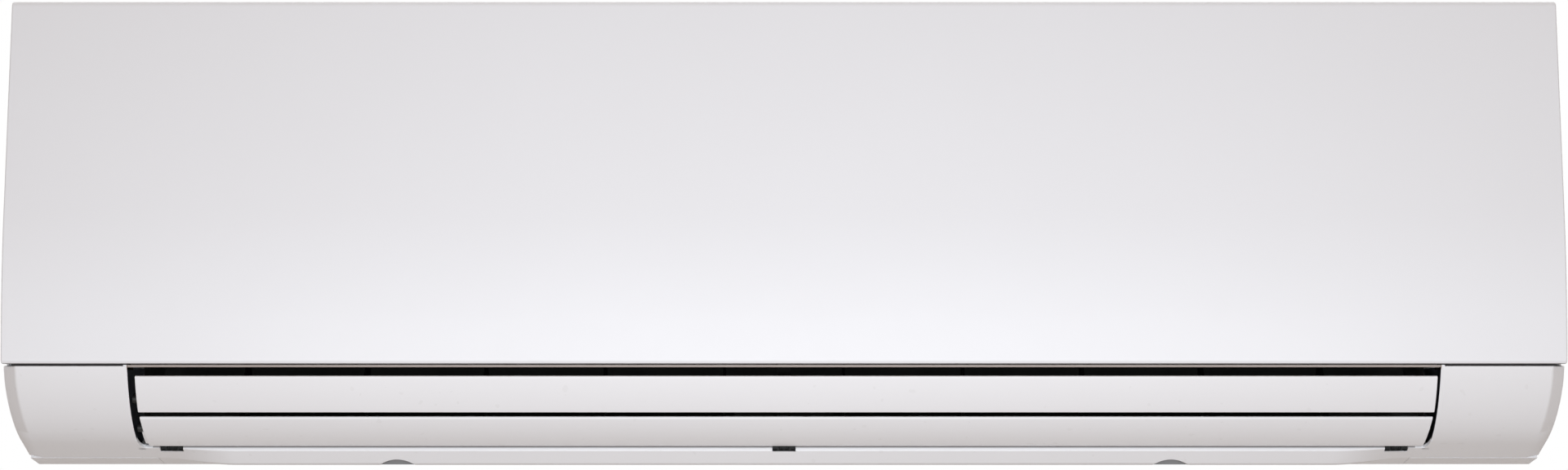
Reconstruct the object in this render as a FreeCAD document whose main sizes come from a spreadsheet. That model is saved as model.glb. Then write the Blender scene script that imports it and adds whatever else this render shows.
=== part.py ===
import FreeCAD, Part
import math
import os
import Sketcher

# Driving sizes in millimetres and degrees. Depths are measured from the wall towards the room,
# heights from the underside of the unit, and x to the right of the middle, seen from the room.
sizes = {
    # whole unit
    "body_width": 1072.0,
    "body_height": 322.0,
    "body_depth": 230.0,
    "screw_height": 165.0,
    "wall": 2.5,
    "seat_gap": 0.3,
    "panel_gap": 0.6,
    "pin_gap": 0.05,
    # front panel and its hinge
    "panel_bottom": 70.0,
    "panel_upright": 30.0,
    "panel_bend_radius": 430.0,
    "panel_lean": 9.8,
    "panel_wall": 2.5,
    "panel_lip": 9.0,
    "panel_corner": 4.0,
    "panel_edge": 3.0,
    "panel_rib_depth": 6.0,
    "panel_rib_wall": 2.0,
    "panel_rib_pitch": 300.0,
    "panel_rib_top_gap": 32.0,
    "hinge_setback": 11.75,
    "hinge_drop": 10.0,
    "hinge_pin_radius": 2.5,
    "hinge_lug_radius": 5.5,
    "hinge_lug_length": 7.0,
    "hinge_arm_rise": 2.3,
    # cheeks and air outlet
    "outlet_inset": 86.0,
    "cheek_radius": 80.0,
    "cheek_start": 15.0,
    "cheek_end": 70.0,
    "cheek_setback": 2.5,
    "cheek_gap": 0.8,
    "cheek_run": 29.0,
    "facet_width": 9.3,
    "facet_top": 8.0,
    "facet_bend": 3.5,
    "facet_foot": 2.0,
    # lower lip and skirt
    "lip_start": 8.5,
    "lip_setback": 64.0,
    "lip_fall": 3.2,
    "lip_round": 4.0,
    "lip_back_run": 26.0,
    "chin_setback": 59.0,
    "chin_height": 9.8,
    "chin_round": 5.0,
    "chin_slope": 8.5,
    "chin_foot": 1.4,
    "chin_chamfer": 3.0,
    "rail_height": 2.5,
    "rail_chamfer": 3.0,
    "skirt_setback": 112.0,
    "skirt_inset": 96.0,
    "notch_width": 16.4,
    "notch_inset": 108.0,
    "notch_reach": 3.0,
    "notch_floor": 9.5,
    "scoop_pitch": 271.0,
    "scoop_radius": 22.5,
    "scoop_rise": 3.8,
    # frame behind the panel
    "frame_back": 6.0,
    "frame_top_drop": 1.0,
    "face_low": 72.0,
    "face_drop": 16.0,
    "window_low": 112.0,
    "window_drop": 36.0,
    "window_left_inset": 36.0,
    "window_right_inset": 96.0,
    "window_bar": 20.0,
    "ear_stop_angle": 150.0,
    "screw_boss_inset": 16.0,
    "screw_boss_height": 88.0,
    "screw_boss_radius": 4.5,
    "screw_radius": 1.9,
    "screw_head_radius": 4.0,
    "screw_head": 2.5,
    "screw_length": 18.0,
    # top grille
    "grille_inset": 36.0,
    "grille_back": 30.0,
    "grille_setback": 80.0,
    "grille_thick": 4.5,
    "grille_rim": 6.0,
    "grille_slat": 3.0,
    # filters
    "filter_thick": 5.0,
    "filter_rim": 6.0,
    "filter_overlap": 5.0,
    "filter_mesh": 0.6,
    # louvers
    "louver_wall": 2.4,
    "louver_end_gap": 3.5,
    "louver_shift": 1.5,
    "upper_from": 21.5,
    "upper_to": 42.5,
    "lower_from": 45.0,
    "lower_to": 74.0,
    "upper_axis_setback": 30.0,
    "upper_axis_height": 46.0,
    "lower_axis_setback": 52.0,
    "lower_axis_height": 26.0,
    "axle_radius": 3.0,
    "arm_wall": 4.0,
    "arm_boss_radius": 5.0,
    "support_pin_radius": 2.0,
    "support_width": 9.0,
    "support_boss_radius": 4.5,
    "crank_reach": 10.0,
    "crank_half": 3.5,
    "crank_wall": 3.0,
    "crank_inset": 80.0,
    "link_wall": 2.5,
    "louver_motor_radius": 14.0,
    "louver_motor_length": 19.0,
    "louver_motor_offset": 5.7,
    "louver_motor_ear": 17.5,
    "louver_motor_plate": 1.5,
    "louver_post_radius": 3.5,
    # chassis, scroll and duct
    "chassis_inset": 6.0,
    "chassis_back": 8.0,
    "chassis_drop": 16.0,
    "chassis_edge": 3.0,
    "bay_inset": 86.0,
    "bulkhead": 3.0,
    "fan_setback": 132.0,
    "fan_height": 122.0,
    "fan_radius": 47.0,
    "scroll_gap": 17.0,
    "scroll_forward": 5.0,
    "scroll_drop": 8.0,
    "scroll_nose": 134.0,
    "floor_slope": 33.0,
    "trough_height": 140.0,
    "port_low": 62.0,
    "port_high": 126.0,
    # fan, motor and bearing
    "fan_left_inset": 96.0,
    "fan_right_inset": 100.0,
    "fan_inner_radius": 37.0,
    "fan_disc": 3.0,
    "blade_wall": 1.2,
    "blade_bow": 1.5,
    "hub_radius": 12.0,
    "hub_length": 22.0,
    "shaft_radius": 4.0,
    "motor_radius": 42.0,
    "motor_near_inset": 71.0,
    "motor_far_inset": 23.0,
    "motor_boss_radius": 18.0,
    "ring_radius": 24.0,
    "ring_length": 7.0,
    "ring_seat_wall": 5.0,
    "clamp_wall": 2.5,
    "clamp_width": 10.0,
    "holder_radius": 16.7,
    "holder_length": 11.0,
    # coil
    "coil_left_inset": 96.0,
    "coil_right_inset": 106.0,
    "coil_thick": 26.0,
    "coil_plate": 1.2,
    "coil_plate_reach": 5.0,
    "front_coil_low": 98.0,
    "front_coil_length": 88.0,
    "coil_fold_gap": 11.0,
    "coil_fold_step": 1.0,
    "upper_coil_drop": 43.5,
    "upper_coil_lean": 41.0,
    "rear_coil_depth": 28.0,
    "rear_coil_low": 172.0,
    "ridge_gap": 23.8,
    "ridge_drop": 11.5,
    "tube_radius": 3.6,
    "tube_pitch": 22.0,
    "tube_row": 6.5,
    # water and drain
    "header_radius": 10.0,
    "supply_inset": 49.0,
    "return_inset": 30.0,
    "supply_height": 110.0,
    "return_height": 80.0,
    "pipe_radius": 8.0,
    "pipe_end": 34.0,
    "union_end": 12.0,
    "union_hex": 16.5,
    "union_bore": 12.06,
    "union_thread": 18.0,
    "pan_rear_setback": 76.0,
    "pan_front_setback": 26.0,
    "pan_rear_height": 85.0,
    "pan_slope": 13.0,
    "pan_rim": 97.0,
    "pan_left_inset": 58.0,
    "pan_right_inset": 74.0,
    "spigot_inset": 70.0,
    "spigot_rise": 6.5,
    "spigot_radius": 8.0,
    "spigot_collar_radius": 9.0,
    "spigot_end": 58.0,
    "spigot_bore": 6.0,
    # upright vanes
    "vane_margin": 30.0,
    "vane_wall": 1.6,
    "vane_back": 14.0,
    "vane_front": 50.0,
    "vane_low": 3.0,
    "vane_high": 42.0,
    "vane_pivot": 24.0,
    "vane_pin_radius": 2.0,
    "vane_reach": 14.0,
    "vane_step": 8.0,
    "rod_low": 4.2,
    "rod_wall": 2.4,
    "rod_half": 3.5,
    "rod_pin_radius": 1.5,
    # control box
    "box_inset": 78.0,
    "box_back_setback": 80.0,
    "box_front_setback": 46.0,
    "box_low": 112.0,
    "box_high": 236.0,
    "box_wall": 2.0,
    "board_standoff": 6.0,
    "board_wall": 1.6,
    "board_margin": 4.0,
    "board_low": 140.0,
    "receiver_inset": 74.0,
    "receiver_width": 32.0,
    "receiver_height": 18.0,
    "button_inset": 30.0,
    "button_height": 86.0,
    "button_radius": 4.5,
    "button_stem_radius": 2.5,
    "button_travel": 1.5,
    "button_cap": 3.4,
    # wall plate
    "plate_inset": 156.0,
    "plate_low": 40.0,
    "plate_drop": 24.0,
    "plate_wall": 1.2,
    "plate_fold": 6.5,
    "plate_hole_radius": 3.25,
    "plate_hole_inset": 60.0,
    "plate_holes_up": 180.0,
    "plate_cut_width": 150.0,
    "plate_cut_height": 100.0,
    "plate_cut_pitch": 230.0,
    "hook_inset": 80.0,
    "hook_width": 40.0,
    "hook_drop": 52.0,
    "hook_rise": 12.0,
    "hook_play": 2.0,
}

doc = FreeCAD.newDocument("WallFanCoil")
sheet = doc.addObject("Spreadsheet::Sheet", "Sizes")
for row, (name, value) in enumerate(sizes.items(), start=1):
    sheet.set(f"A{row}", name)
    sheet.set(f"B{row}", str(value))
    sheet.setAlias(f"B{row}", name)
doc.recompute()


class Size:
    # a number together with the expression on the sheet that gives it
    def __init__(self, number, text):
        self.number = number
        self.text = text

    def __add__(self, other):
        other = size_of(other)
        return Size(self.number + other.number, f"({self.text} + {other.text})")

    def __sub__(self, other):
        other = size_of(other)
        return Size(self.number - other.number, f"({self.text} - {other.text})")

    def __mul__(self, other):
        other = size_of(other)
        return Size(self.number * other.number, f"({self.text} * {other.text})")

    def __truediv__(self, other):
        other = size_of(other)
        return Size(self.number / other.number, f"({self.text} / {other.text})")

    def __neg__(self):
        return Size(-self.number, f"(0 - {self.text})")

    def __radd__(self, other):
        return size_of(other) + self

    def __rsub__(self, other):
        return size_of(other) - self

    def __rmul__(self, other):
        return size_of(other) * self


class Cells:
    # the sheet's cells by their names
    def __getattr__(self, name):
        return Size(float(sheet.get(name)), f"Sizes.{name}")


def size_of(value):
    if isinstance(value, Size):
        return value
    return Size(float(value), f"({float(value)})")


def cos_of(angle):
    angle = size_of(angle)
    return Size(math.cos(math.radians(angle.number)), f"cos({angle.text})")


def sin_of(angle):
    angle = size_of(angle)
    return Size(math.sin(math.radians(angle.number)), f"sin({angle.text})")


def tan_of(angle):
    angle = size_of(angle)
    return Size(math.tan(math.radians(angle.number)), f"tan({angle.text})")


def root_of(value):
    return Size(math.sqrt(value.number), f"sqrt({value.text})")


def bind(item, prop, value):
    item.setExpression(prop, size_of(value).text)


s = Cells()


# Sketches: a loop is a start corner followed by corners and arcs, closed by a line or an arc

class Arc:
    def __init__(self, end, radius, side):
        self.end = end
        self.radius = size_of(radius)
        self.side = side


class Circle:
    def __init__(self, centre, radius):
        self.centre = centre
        self.radius = size_of(radius)


def flat(corner):
    return FreeCAD.Vector(size_of(corner[0]).number, size_of(corner[1]).number, 0)


def hold(sketch, kind, geometry, value):
    index = sketch.addConstraint(Sketcher.Constraint(kind, *geometry, size_of(value).number))
    bind(sketch, f"Constraints[{index}]", value)


def hold_corner(sketch, curve, end, corner):
    hold(sketch, "DistanceX", (-1, 1, curve, end), corner[0])
    hold(sketch, "DistanceY", (-1, 1, curve, end), corner[1])


def add_arc(sketch, start, arc):
    first, last = (start, arc.end) if arc.side == "left" else (arc.end, start)
    first, last = flat(first), flat(last)
    chord = last - first
    rise = math.sqrt(max(arc.radius.number ** 2 - (chord.Length / 2) ** 2, 0))
    across = FreeCAD.Vector(-chord.y, chord.x, 0).normalize()
    centre = (first + last) * 0.5 + across * rise
    circle = Part.Circle(centre, FreeCAD.Vector(0, 0, 1), arc.radius.number)
    begin = math.atan2(first.y - centre.y, first.x - centre.x)
    finish = math.atan2(last.y - centre.y, last.x - centre.x)
    if finish < begin:
        finish += 2 * math.pi
    curve = sketch.addGeometry(Part.ArcOfCircle(circle, begin, finish), False)
    return (curve, 1, 2) if arc.side == "left" else (curve, 2, 1)


def draw(sketch, loop):
    if isinstance(loop, Circle):
        circle = Part.Circle(flat(loop.centre), FreeCAD.Vector(0, 0, 1), loop.radius.number)
        curve = sketch.addGeometry(circle, False)
        hold_corner(sketch, curve, 3, loop.centre)
        hold(sketch, "Radius", (curve,), loop.radius)
        return
    steps = list(loop[1:])
    if not (isinstance(steps[-1], Arc) and steps[-1].end is loop[0]):
        steps.append(loop[0])
    here = loop[0]
    corners = []
    curves = []
    radii = []
    for step in steps:
        corners.append(here)
        if isinstance(step, Arc):
            curves.append(add_arc(sketch, here, step))
            radii.append((curves[-1][0], step.radius))
            here = step.end
        else:
            curve = sketch.addGeometry(Part.LineSegment(flat(here), flat(step)), False)
            curves.append((curve, 1, 2))
            here = step
    for (curve, first, last), (after, after_first, after_last) in zip(curves, curves[1:] + curves[:1]):
        sketch.addConstraint(Sketcher.Constraint("Coincident", curve, last, after, after_first))
    for (curve, first, last), corner in zip(curves, corners):
        hold_corner(sketch, curve, first, corner)
    for curve, radius in radii:
        hold(sketch, "Radius", (curve,), radius)


# Sketch planes: section is depth by height, plan is x by depth, front is x by height
planes = {
    "section": ("YZ_Plane", FreeCAD.Rotation(FreeCAD.Vector(0, 1, 0), 180), True),
    "plan": ("XY_Plane", FreeCAD.Rotation(FreeCAD.Vector(1, 0, 0), 180), True),
    "front": ("XZ_Plane", FreeCAD.Rotation(), False),
}


def add_body(name):
    body = doc.addObject("PartDesign::Body", name)
    bind(body, "Placement.Base.z", -s.screw_height)
    return body


def add_sketch(body, plane, start, loops):
    role, turn, reversed_pad = planes[plane]
    sketch = body.newObject("Sketcher::SketchObject", body.Name + "_sketch")
    support = [feature for feature in body.Origin.OriginFeatures if feature.Role == role][0]
    sketch.AttachmentSupport = [(support, "")]
    sketch.MapMode = "FlatFace"
    sketch.AttachmentOffset = FreeCAD.Placement(FreeCAD.Vector(), turn)
    bind(sketch, "AttachmentOffset.Base.z", start)
    for loop in loops:
        draw(sketch, loop)
    return sketch


def add_pad(body, plane, start, end, loops):
    sketch = add_sketch(body, plane, start, loops)
    pad = body.newObject("PartDesign::Pad", body.Name + "_pad")
    pad.Profile = sketch
    pad.Reversed = planes[plane][2]
    bind(pad, "Length", size_of(end) - start)
    body.Tip = pad
    return pad


def extrude(name, plane, start, end, *loops):
    body = add_body(name)
    add_pad(body, plane, start, end, loops)
    return body


def place(item, x, depth, height):
    bind(item, "Placement.Base.x", x)
    bind(item, "Placement.Base.y", -size_of(depth))
    bind(item, "Placement.Base.z", size_of(height) - s.screw_height)


def box(name, x_range, depth_range, height_range):
    item = doc.addObject("Part::Box", name)
    bind(item, "Length", size_of(x_range[1]) - x_range[0])
    bind(item, "Width", size_of(depth_range[1]) - depth_range[0])
    bind(item, "Height", size_of(height_range[1]) - height_range[0])
    place(item, x_range[0], depth_range[1], height_range[0])
    return item


axis_turns = {
    "x": FreeCAD.Rotation(FreeCAD.Vector(0, 1, 0), 90),
    "depth": FreeCAD.Rotation(FreeCAD.Vector(1, 0, 0), 90),
    "height": FreeCAD.Rotation(),
}


def rod(name, axis, start, length, radius):
    item = doc.addObject("Part::Cylinder", name)
    item.Placement = FreeCAD.Placement(FreeCAD.Vector(), axis_turns[axis])
    bind(item, "Radius", radius)
    bind(item, "Height", length)
    place(item, *start)
    return item


def depth_rod(name, x, height, depth_from, depth_to, radius):
    return rod(name, "depth", (x, depth_from, height), size_of(depth_to) - depth_from, radius)


def peg_ring(centre, radius, sides):
    # a regular loop whose corners lie at the radius, for pegs
    turns = [360 / sides * index for index in range(sides)]
    return [(centre[0] + radius * cos_of(turn), centre[1] + radius * sin_of(turn)) for turn in turns]


def ring(centre, radius, sides):
    # a regular loop whose flats lie at the radius, for holes
    return peg_ring(centre, radius / cos_of(180 / sides), sides)


def x_peg(name, x_from, x_to, centre, radius, sides):
    return extrude(name, "section", x_from, x_to, peg_ring(centre, radius, sides))


def x_hole(name, x_from, x_to, centre, radius, sides):
    return extrude(name, "section", x_from, x_to, ring(centre, radius, sides))


def depth_peg(name, x, height, depth_from, depth_to, radius, sides):
    return extrude(name, "front", depth_from, depth_to, peg_ring((x, height), radius, sides))


def depth_hole(name, x, height, depth_from, depth_to, radius, sides):
    return extrude(name, "front", depth_from, depth_to, ring((x, height), radius, sides))


def leaning_peg(name, start, length, radius, lean, sides):
    # a many-sided peg that leans from upright towards the room
    item = doc.addObject("Part::Prism", name)
    item.Polygon = sides
    item.Placement = FreeCAD.Placement(FreeCAD.Vector(), FreeCAD.Rotation(FreeCAD.Vector(1, 0, 0), 1))
    bind(item, "Circumradius", radius)
    bind(item, "Height", length)
    bind(item, "Placement.Rotation.Angle", lean)
    place(item, *start)
    return item


def fuse(name, *items):
    joined = doc.addObject("Part::MultiFuse", name)
    joined.Shapes = list(items)
    joined.Refine = True
    return joined


def cut(name, base, *tools):
    tool = tools[0] if len(tools) == 1 else fuse(name + "_tools", *tools)
    result = doc.addObject("Part::Cut", name)
    result.Base = base
    result.Tool = tool
    result.Refine = True
    return result


def group(name, *items):
    joined = doc.addObject("Part::Compound", name)
    joined.Links = list(items)
    return joined


nodes = []


def node(label, item):
    item.Label = label
    nodes.append(item)


def span(side, near, far):
    # the x range between two distances from the middle, low end first
    return (-size_of(far), -size_of(near)) if side < 0 else (size_of(near), size_of(far))


# Front profile: upright at the bottom, a long bend, then leaning back to the top
half_width = s.body_width / 2
top = s.body_height
bend_low = s.panel_bottom + s.panel_upright


def bend_top(offset):
    reach = s.panel_bend_radius - offset
    return (s.body_depth - s.panel_bend_radius + reach * cos_of(s.panel_lean),
            bend_low + reach * sin_of(s.panel_lean))


def front_at(offset, height):
    bend = bend_top(offset)
    return bend[0] - (height - bend[1]) * tan_of(s.panel_lean)


def front_strip(near, far, low, high):
    return [(s.body_depth - near, low), (s.body_depth - near, bend_low),
            Arc(bend_top(near), s.panel_bend_radius - near, "left"),
            (front_at(near, high), high), (front_at(far, high), high), bend_top(far),
            Arc((s.body_depth - far, bend_low), s.panel_bend_radius - far, "right"),
            (s.body_depth - far, low)]


def bend_strip(near, far, low, high):
    # the same strip where its lower end lies on the bend
    def on_bend(offset):
        reach = s.panel_bend_radius - offset
        rise = low - bend_low
        return (s.body_depth - s.panel_bend_radius + root_of(reach * reach - rise * rise), low)

    return [on_bend(near), Arc(bend_top(near), s.panel_bend_radius - near, "left"),
            (front_at(near, high), high), (front_at(far, high), high), bend_top(far),
            Arc(on_bend(far), s.panel_bend_radius - far, "right")]


# Places that follow the unit's width, height and depth
def right_of_middle(inset):
    return half_width - inset


hinge_depth = front_at(0, top - s.hinge_drop) - s.hinge_setback
lip_front = s.body_depth - s.lip_setback
notch_depth = lip_front - s.notch_reach
skirt_depth = s.body_depth - s.skirt_setback
grille_front = s.body_depth - s.grille_setback
upper_axis_depth = s.body_depth - s.upper_axis_setback
lower_axis_depth = s.body_depth - s.lower_axis_setback
fan_depth = s.body_depth - s.fan_setback
pan_rear = s.body_depth - s.pan_rear_setback
pan_front = s.body_depth - s.pan_front_setback
box_back = s.body_depth - s.box_back_setback
box_front = s.body_depth - s.box_front_setback
face_high = top - s.face_drop
window_high = top - s.window_drop
chassis_top = top - s.chassis_drop
plate_high = top - s.plate_drop
hook_height = top - s.hook_drop
outlet_half = right_of_middle(s.outlet_inset)
skirt_half = right_of_middle(s.skirt_inset)
notch_pitch = right_of_middle(s.notch_inset)
window_left = -right_of_middle(s.window_left_inset)
window_right = right_of_middle(s.window_right_inset)
screw_boss_x = right_of_middle(s.screw_boss_inset)
grille_half = right_of_middle(s.grille_inset)
crank_x = right_of_middle(s.crank_inset)
chassis_half = right_of_middle(s.chassis_inset)
bay_x = right_of_middle(s.bay_inset)
fan_left = -right_of_middle(s.fan_left_inset)
fan_right = right_of_middle(s.fan_right_inset)
motor_from = right_of_middle(s.motor_near_inset)
motor_to = right_of_middle(s.motor_far_inset)
coil_left = -right_of_middle(s.coil_left_inset)
coil_right = right_of_middle(s.coil_right_inset)
supply_x = -right_of_middle(s.supply_inset)
return_x = -right_of_middle(s.return_inset)
pan_left = -right_of_middle(s.pan_left_inset)
pan_right = right_of_middle(s.pan_right_inset)
spigot_x = -right_of_middle(s.spigot_inset)
box_left = right_of_middle(s.box_inset)
receiver_left = right_of_middle(s.receiver_inset)
button_x = right_of_middle(s.button_inset)
plate_half = right_of_middle(s.plate_inset)
hook_x = plate_half - s.hook_inset


# Hinge of the panel: its ears are round about the pin, so they turn in place
hinge = (hinge_depth, top - s.hinge_drop)
flange_depth = (front_at(0, hinge[1]) - hinge_depth) * cos_of(s.panel_lean) + s.hinge_drop
face_offset = flange_depth + s.panel_gap
ear_room = s.hinge_drop + s.panel_gap


def around_hinge(radius, angle):
    return (hinge[0] + radius * cos_of(angle), hinge[1] + radius * sin_of(angle))


def make_front_panel():
    thick = s.panel_wall
    corner = s.panel_corner / tan_of(s.panel_lean / 2 + 45)
    front_top = front_at(0, top)
    lip_end = (hinge_depth, top)
    outside = [lip_end, (front_top - corner, top),
               Arc((front_top + corner * sin_of(s.panel_lean), top - corner * cos_of(s.panel_lean)),
                   s.panel_corner, "right"),
               bend_top(0), Arc((s.body_depth, bend_low), s.panel_bend_radius, "right"),
               (s.body_depth, s.panel_bottom + s.panel_edge),
               Arc((s.body_depth - s.panel_edge, s.panel_bottom), s.panel_edge, "right")]
    inside = [(s.body_depth - s.panel_lip, s.panel_bottom),
              (s.body_depth - s.panel_lip, s.panel_bottom + thick),
              (s.body_depth - thick, s.panel_bottom + thick), (s.body_depth - thick, bend_low),
              Arc(bend_top(thick), s.panel_bend_radius - thick, "left"),
              (front_at(thick, top - thick), top - thick), (hinge_depth, top - thick)]
    ear = [(s.body_depth - flange_depth, s.panel_bottom), (s.body_depth - flange_depth, bend_low),
           Arc(bend_top(flange_depth), s.panel_bend_radius - flange_depth, "left"),
           around_hinge(s.hinge_drop, s.panel_lean + 180), Arc(lip_end, s.hinge_drop, "right")]
    pieces = [extrude("panel_skin", "section", -half_width, half_width, outside + inside)]
    for side, name in ((-1, "left"), (1, "right")):
        flange = span(side, half_width - thick, half_width)
        pin = span(side, half_width - thick - s.hinge_lug_length - s.seat_gap, half_width - thick)
        pieces.append(extrude(f"panel_flange_{name}", "section", *flange, outside + ear))
        pieces.append(x_peg(f"panel_pin_{name}", *pin, hinge, s.hinge_pin_radius, pin_sides))
    for index in (-1.5, -0.5, 0.5, 1.5):
        middle = s.panel_rib_pitch * index
        rib = front_strip(thick / 2, thick + s.panel_rib_depth, s.panel_bottom + thick / 2,
                          top - s.panel_rib_top_gap)
        pieces.append(extrude("panel_rib", "section", middle - s.panel_rib_wall / 2,
                              middle + s.panel_rib_wall / 2, rib))
    node("front_panel", fuse("panel_joined", *pieces))


# Outlet curve: the cheeks and both louvers lie on one arc
cheek_top = s.panel_bottom - s.cheek_gap
curve_centre = (s.body_depth - s.cheek_setback - s.cheek_radius * cos_of(s.cheek_start),
                cheek_top + s.cheek_radius * sin_of(s.cheek_start))


def on_curve(radius, angle):
    return (curve_centre[0] + radius * cos_of(angle), curve_centre[1] - radius * sin_of(angle))


def run_point(distance, inset=0):
    # a point on the straight stretch below the arc, moved inwards by inset
    bend = on_curve(s.cheek_radius - inset, s.cheek_end)
    return (bend[0] - size_of(distance) * sin_of(s.cheek_end),
            bend[1] - size_of(distance) * cos_of(s.cheek_end))


def ceiling(depth):
    # underside of the drain pan, which is the roof of the air outlet
    return s.pan_rear_height - (depth - pan_rear) * tan_of(s.pan_slope)


# Scroll behind the fan and the sloping duct floor in front of it
fan_axis = (fan_depth, s.fan_height)
scroll_radius = s.fan_radius + s.scroll_gap
scroll_centre = (fan_depth + s.scroll_forward, s.fan_height - s.scroll_drop)
scroll_foot = (scroll_centre[0], scroll_centre[1] - scroll_radius)


def on_scroll(radius, angle):
    return (scroll_centre[0] + radius * cos_of(angle), scroll_centre[1] + radius * sin_of(angle))


def scroll_back(radius, height):
    drop = height - scroll_centre[1]
    return (scroll_centre[0] - root_of(radius * radius - drop * drop), height)


def floor_at(depth):
    return scroll_foot[1] - (depth - scroll_foot[0]) * tan_of(s.floor_slope)


def on_floor(along, above):
    return (scroll_foot[0] + along * cos_of(s.floor_slope) + above * sin_of(s.floor_slope),
            scroll_foot[1] - along * sin_of(s.floor_slope) + above * cos_of(s.floor_slope))


lip_back = run_point(s.lip_back_run)
chassis_nose = run_point(s.lip_back_run, s.wall + s.seat_gap)
lip_height = floor_at(chassis_nose[0])
upper_axis = (upper_axis_depth, s.upper_axis_height)
lower_axis = (lower_axis_depth, s.lower_axis_height)
louver_motor_centre = (upper_axis_depth - s.louver_motor_offset,
                       s.upper_axis_height + s.louver_motor_offset)
louver_motor_x = crank_x + s.crank_wall * 2 + s.link_wall + s.louver_motor_plate


def cheek_pieces(side, name):
    facet_x = half_width - s.facet_width
    foot = run_point(s.cheek_run)
    full = [on_curve(s.cheek_radius, s.cheek_start),
            Arc(on_curve(s.cheek_radius, s.cheek_end), s.cheek_radius, "right"),
            foot, (foot[0], cheek_top)]
    start = (full[0][0] - s.facet_top, cheek_top)
    inset_bend = on_curve(s.cheek_radius - s.facet_bend, s.cheek_end)
    inset_foot = run_point(s.cheek_run, s.facet_foot)
    inset = [start, Arc(inset_bend, s.cheek_radius - s.facet_foot, "right"), inset_foot,
             (inset_foot[0], cheek_top)]
    low, high = span(side, outlet_half, facet_x)
    block = extrude(f"cheek_{name}", "section", low, high, full)
    facet = add_body(f"cheek_facet_{name}")
    loft = facet.newObject("PartDesign::AdditiveLoft", f"cheek_facet_{name}_loft")
    loft.Profile = add_sketch(facet, "section", facet_x * side, [full])
    loft.Sections = [add_sketch(facet, "section", half_width * side, [inset])]
    loft.Ruled = True
    facet.Tip = loft
    inner = s.cheek_radius - s.wall
    inner_top = cheek_top - s.wall
    drop = curve_centre[1] - inner_top
    hollow_start = (curve_centre[0] + root_of(inner * inner - drop * drop), inner_top)
    hollow_foot = run_point(s.cheek_run + s.wall, s.wall)
    hollow = [hollow_start, Arc(on_curve(inner, s.cheek_end), inner, "right"), hollow_foot,
              (hollow_foot[0], inner_top)]
    tight = s.wall + s.facet_bend / 2
    tight_hollow = [(full[0][0] - s.facet_top - s.wall, inner_top),
                    Arc(on_curve(s.cheek_radius - tight, s.cheek_end), s.cheek_radius - tight, "right"),
                    hollow_foot, (hollow_foot[0], inner_top)]
    hollows = [extrude(f"cheek_hollow_{name}", "section",
                       *span(side, outlet_half - s.wall, facet_x), hollow),
               extrude(f"cheek_end_hollow_{name}", "section",
                       *span(side, facet_x - s.wall, half_width - s.wall), tight_hollow),
               box(f"cheek_back_{name}", span(side, outlet_half - s.wall, half_width - s.wall),
                   (hollow_foot[0], lip_back[0]), (chassis_nose[1], cheek_top + s.wall))]
    shell = cut(f"cheek_shell_{name}", fuse(f"cheek_solid_{name}", block, facet), *hollows)
    side_wall = [(s.frame_back, inset_foot[1]), inset_foot, inset_bend,
                 Arc(start, s.cheek_radius - s.facet_foot, "left"),
                 (s.body_depth - face_offset, cheek_top), (s.body_depth - face_offset, bend_low),
                 Arc(bend_top(face_offset), s.panel_bend_radius - face_offset, "left"),
                 around_hinge(ear_room, s.panel_lean + 180),
                 Arc(around_hinge(ear_room, s.ear_stop_angle), ear_room, "right"),
                 (around_hinge(ear_room, s.ear_stop_angle)[0], top - s.frame_top_drop),
                 (s.frame_back, top - s.frame_top_drop)]
    pan_clear = pan_front + s.seat_gap
    roof = [(depth, ceiling(depth) - s.seat_gap) for depth in (lip_back[0], pan_clear)]
    inner_wall = [full[0], full[1], lip_back, *roof, (pan_clear, cheek_top)]
    lug = span(side, half_width - s.panel_wall - s.seat_gap - s.hinge_lug_length,
               half_width - s.panel_wall - s.seat_gap)
    return [shell,
            extrude(f"side_wall_{name}", "section", *span(side, half_width - s.wall, half_width),
                    side_wall),
            extrude(f"outlet_wall_{name}", "section", *span(side, outlet_half, outlet_half + s.wall),
                    inner_wall),
            x_peg(f"hinge_lug_{name}", *lug, hinge, s.hinge_lug_radius, pin_sides),
            box(f"hinge_arm_{name}", lug, (hinge_depth - ear_room - s.wall, hinge_depth),
                (hinge[1] - s.hinge_lug_radius, hinge[1] + s.hinge_arm_rise))]


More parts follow.
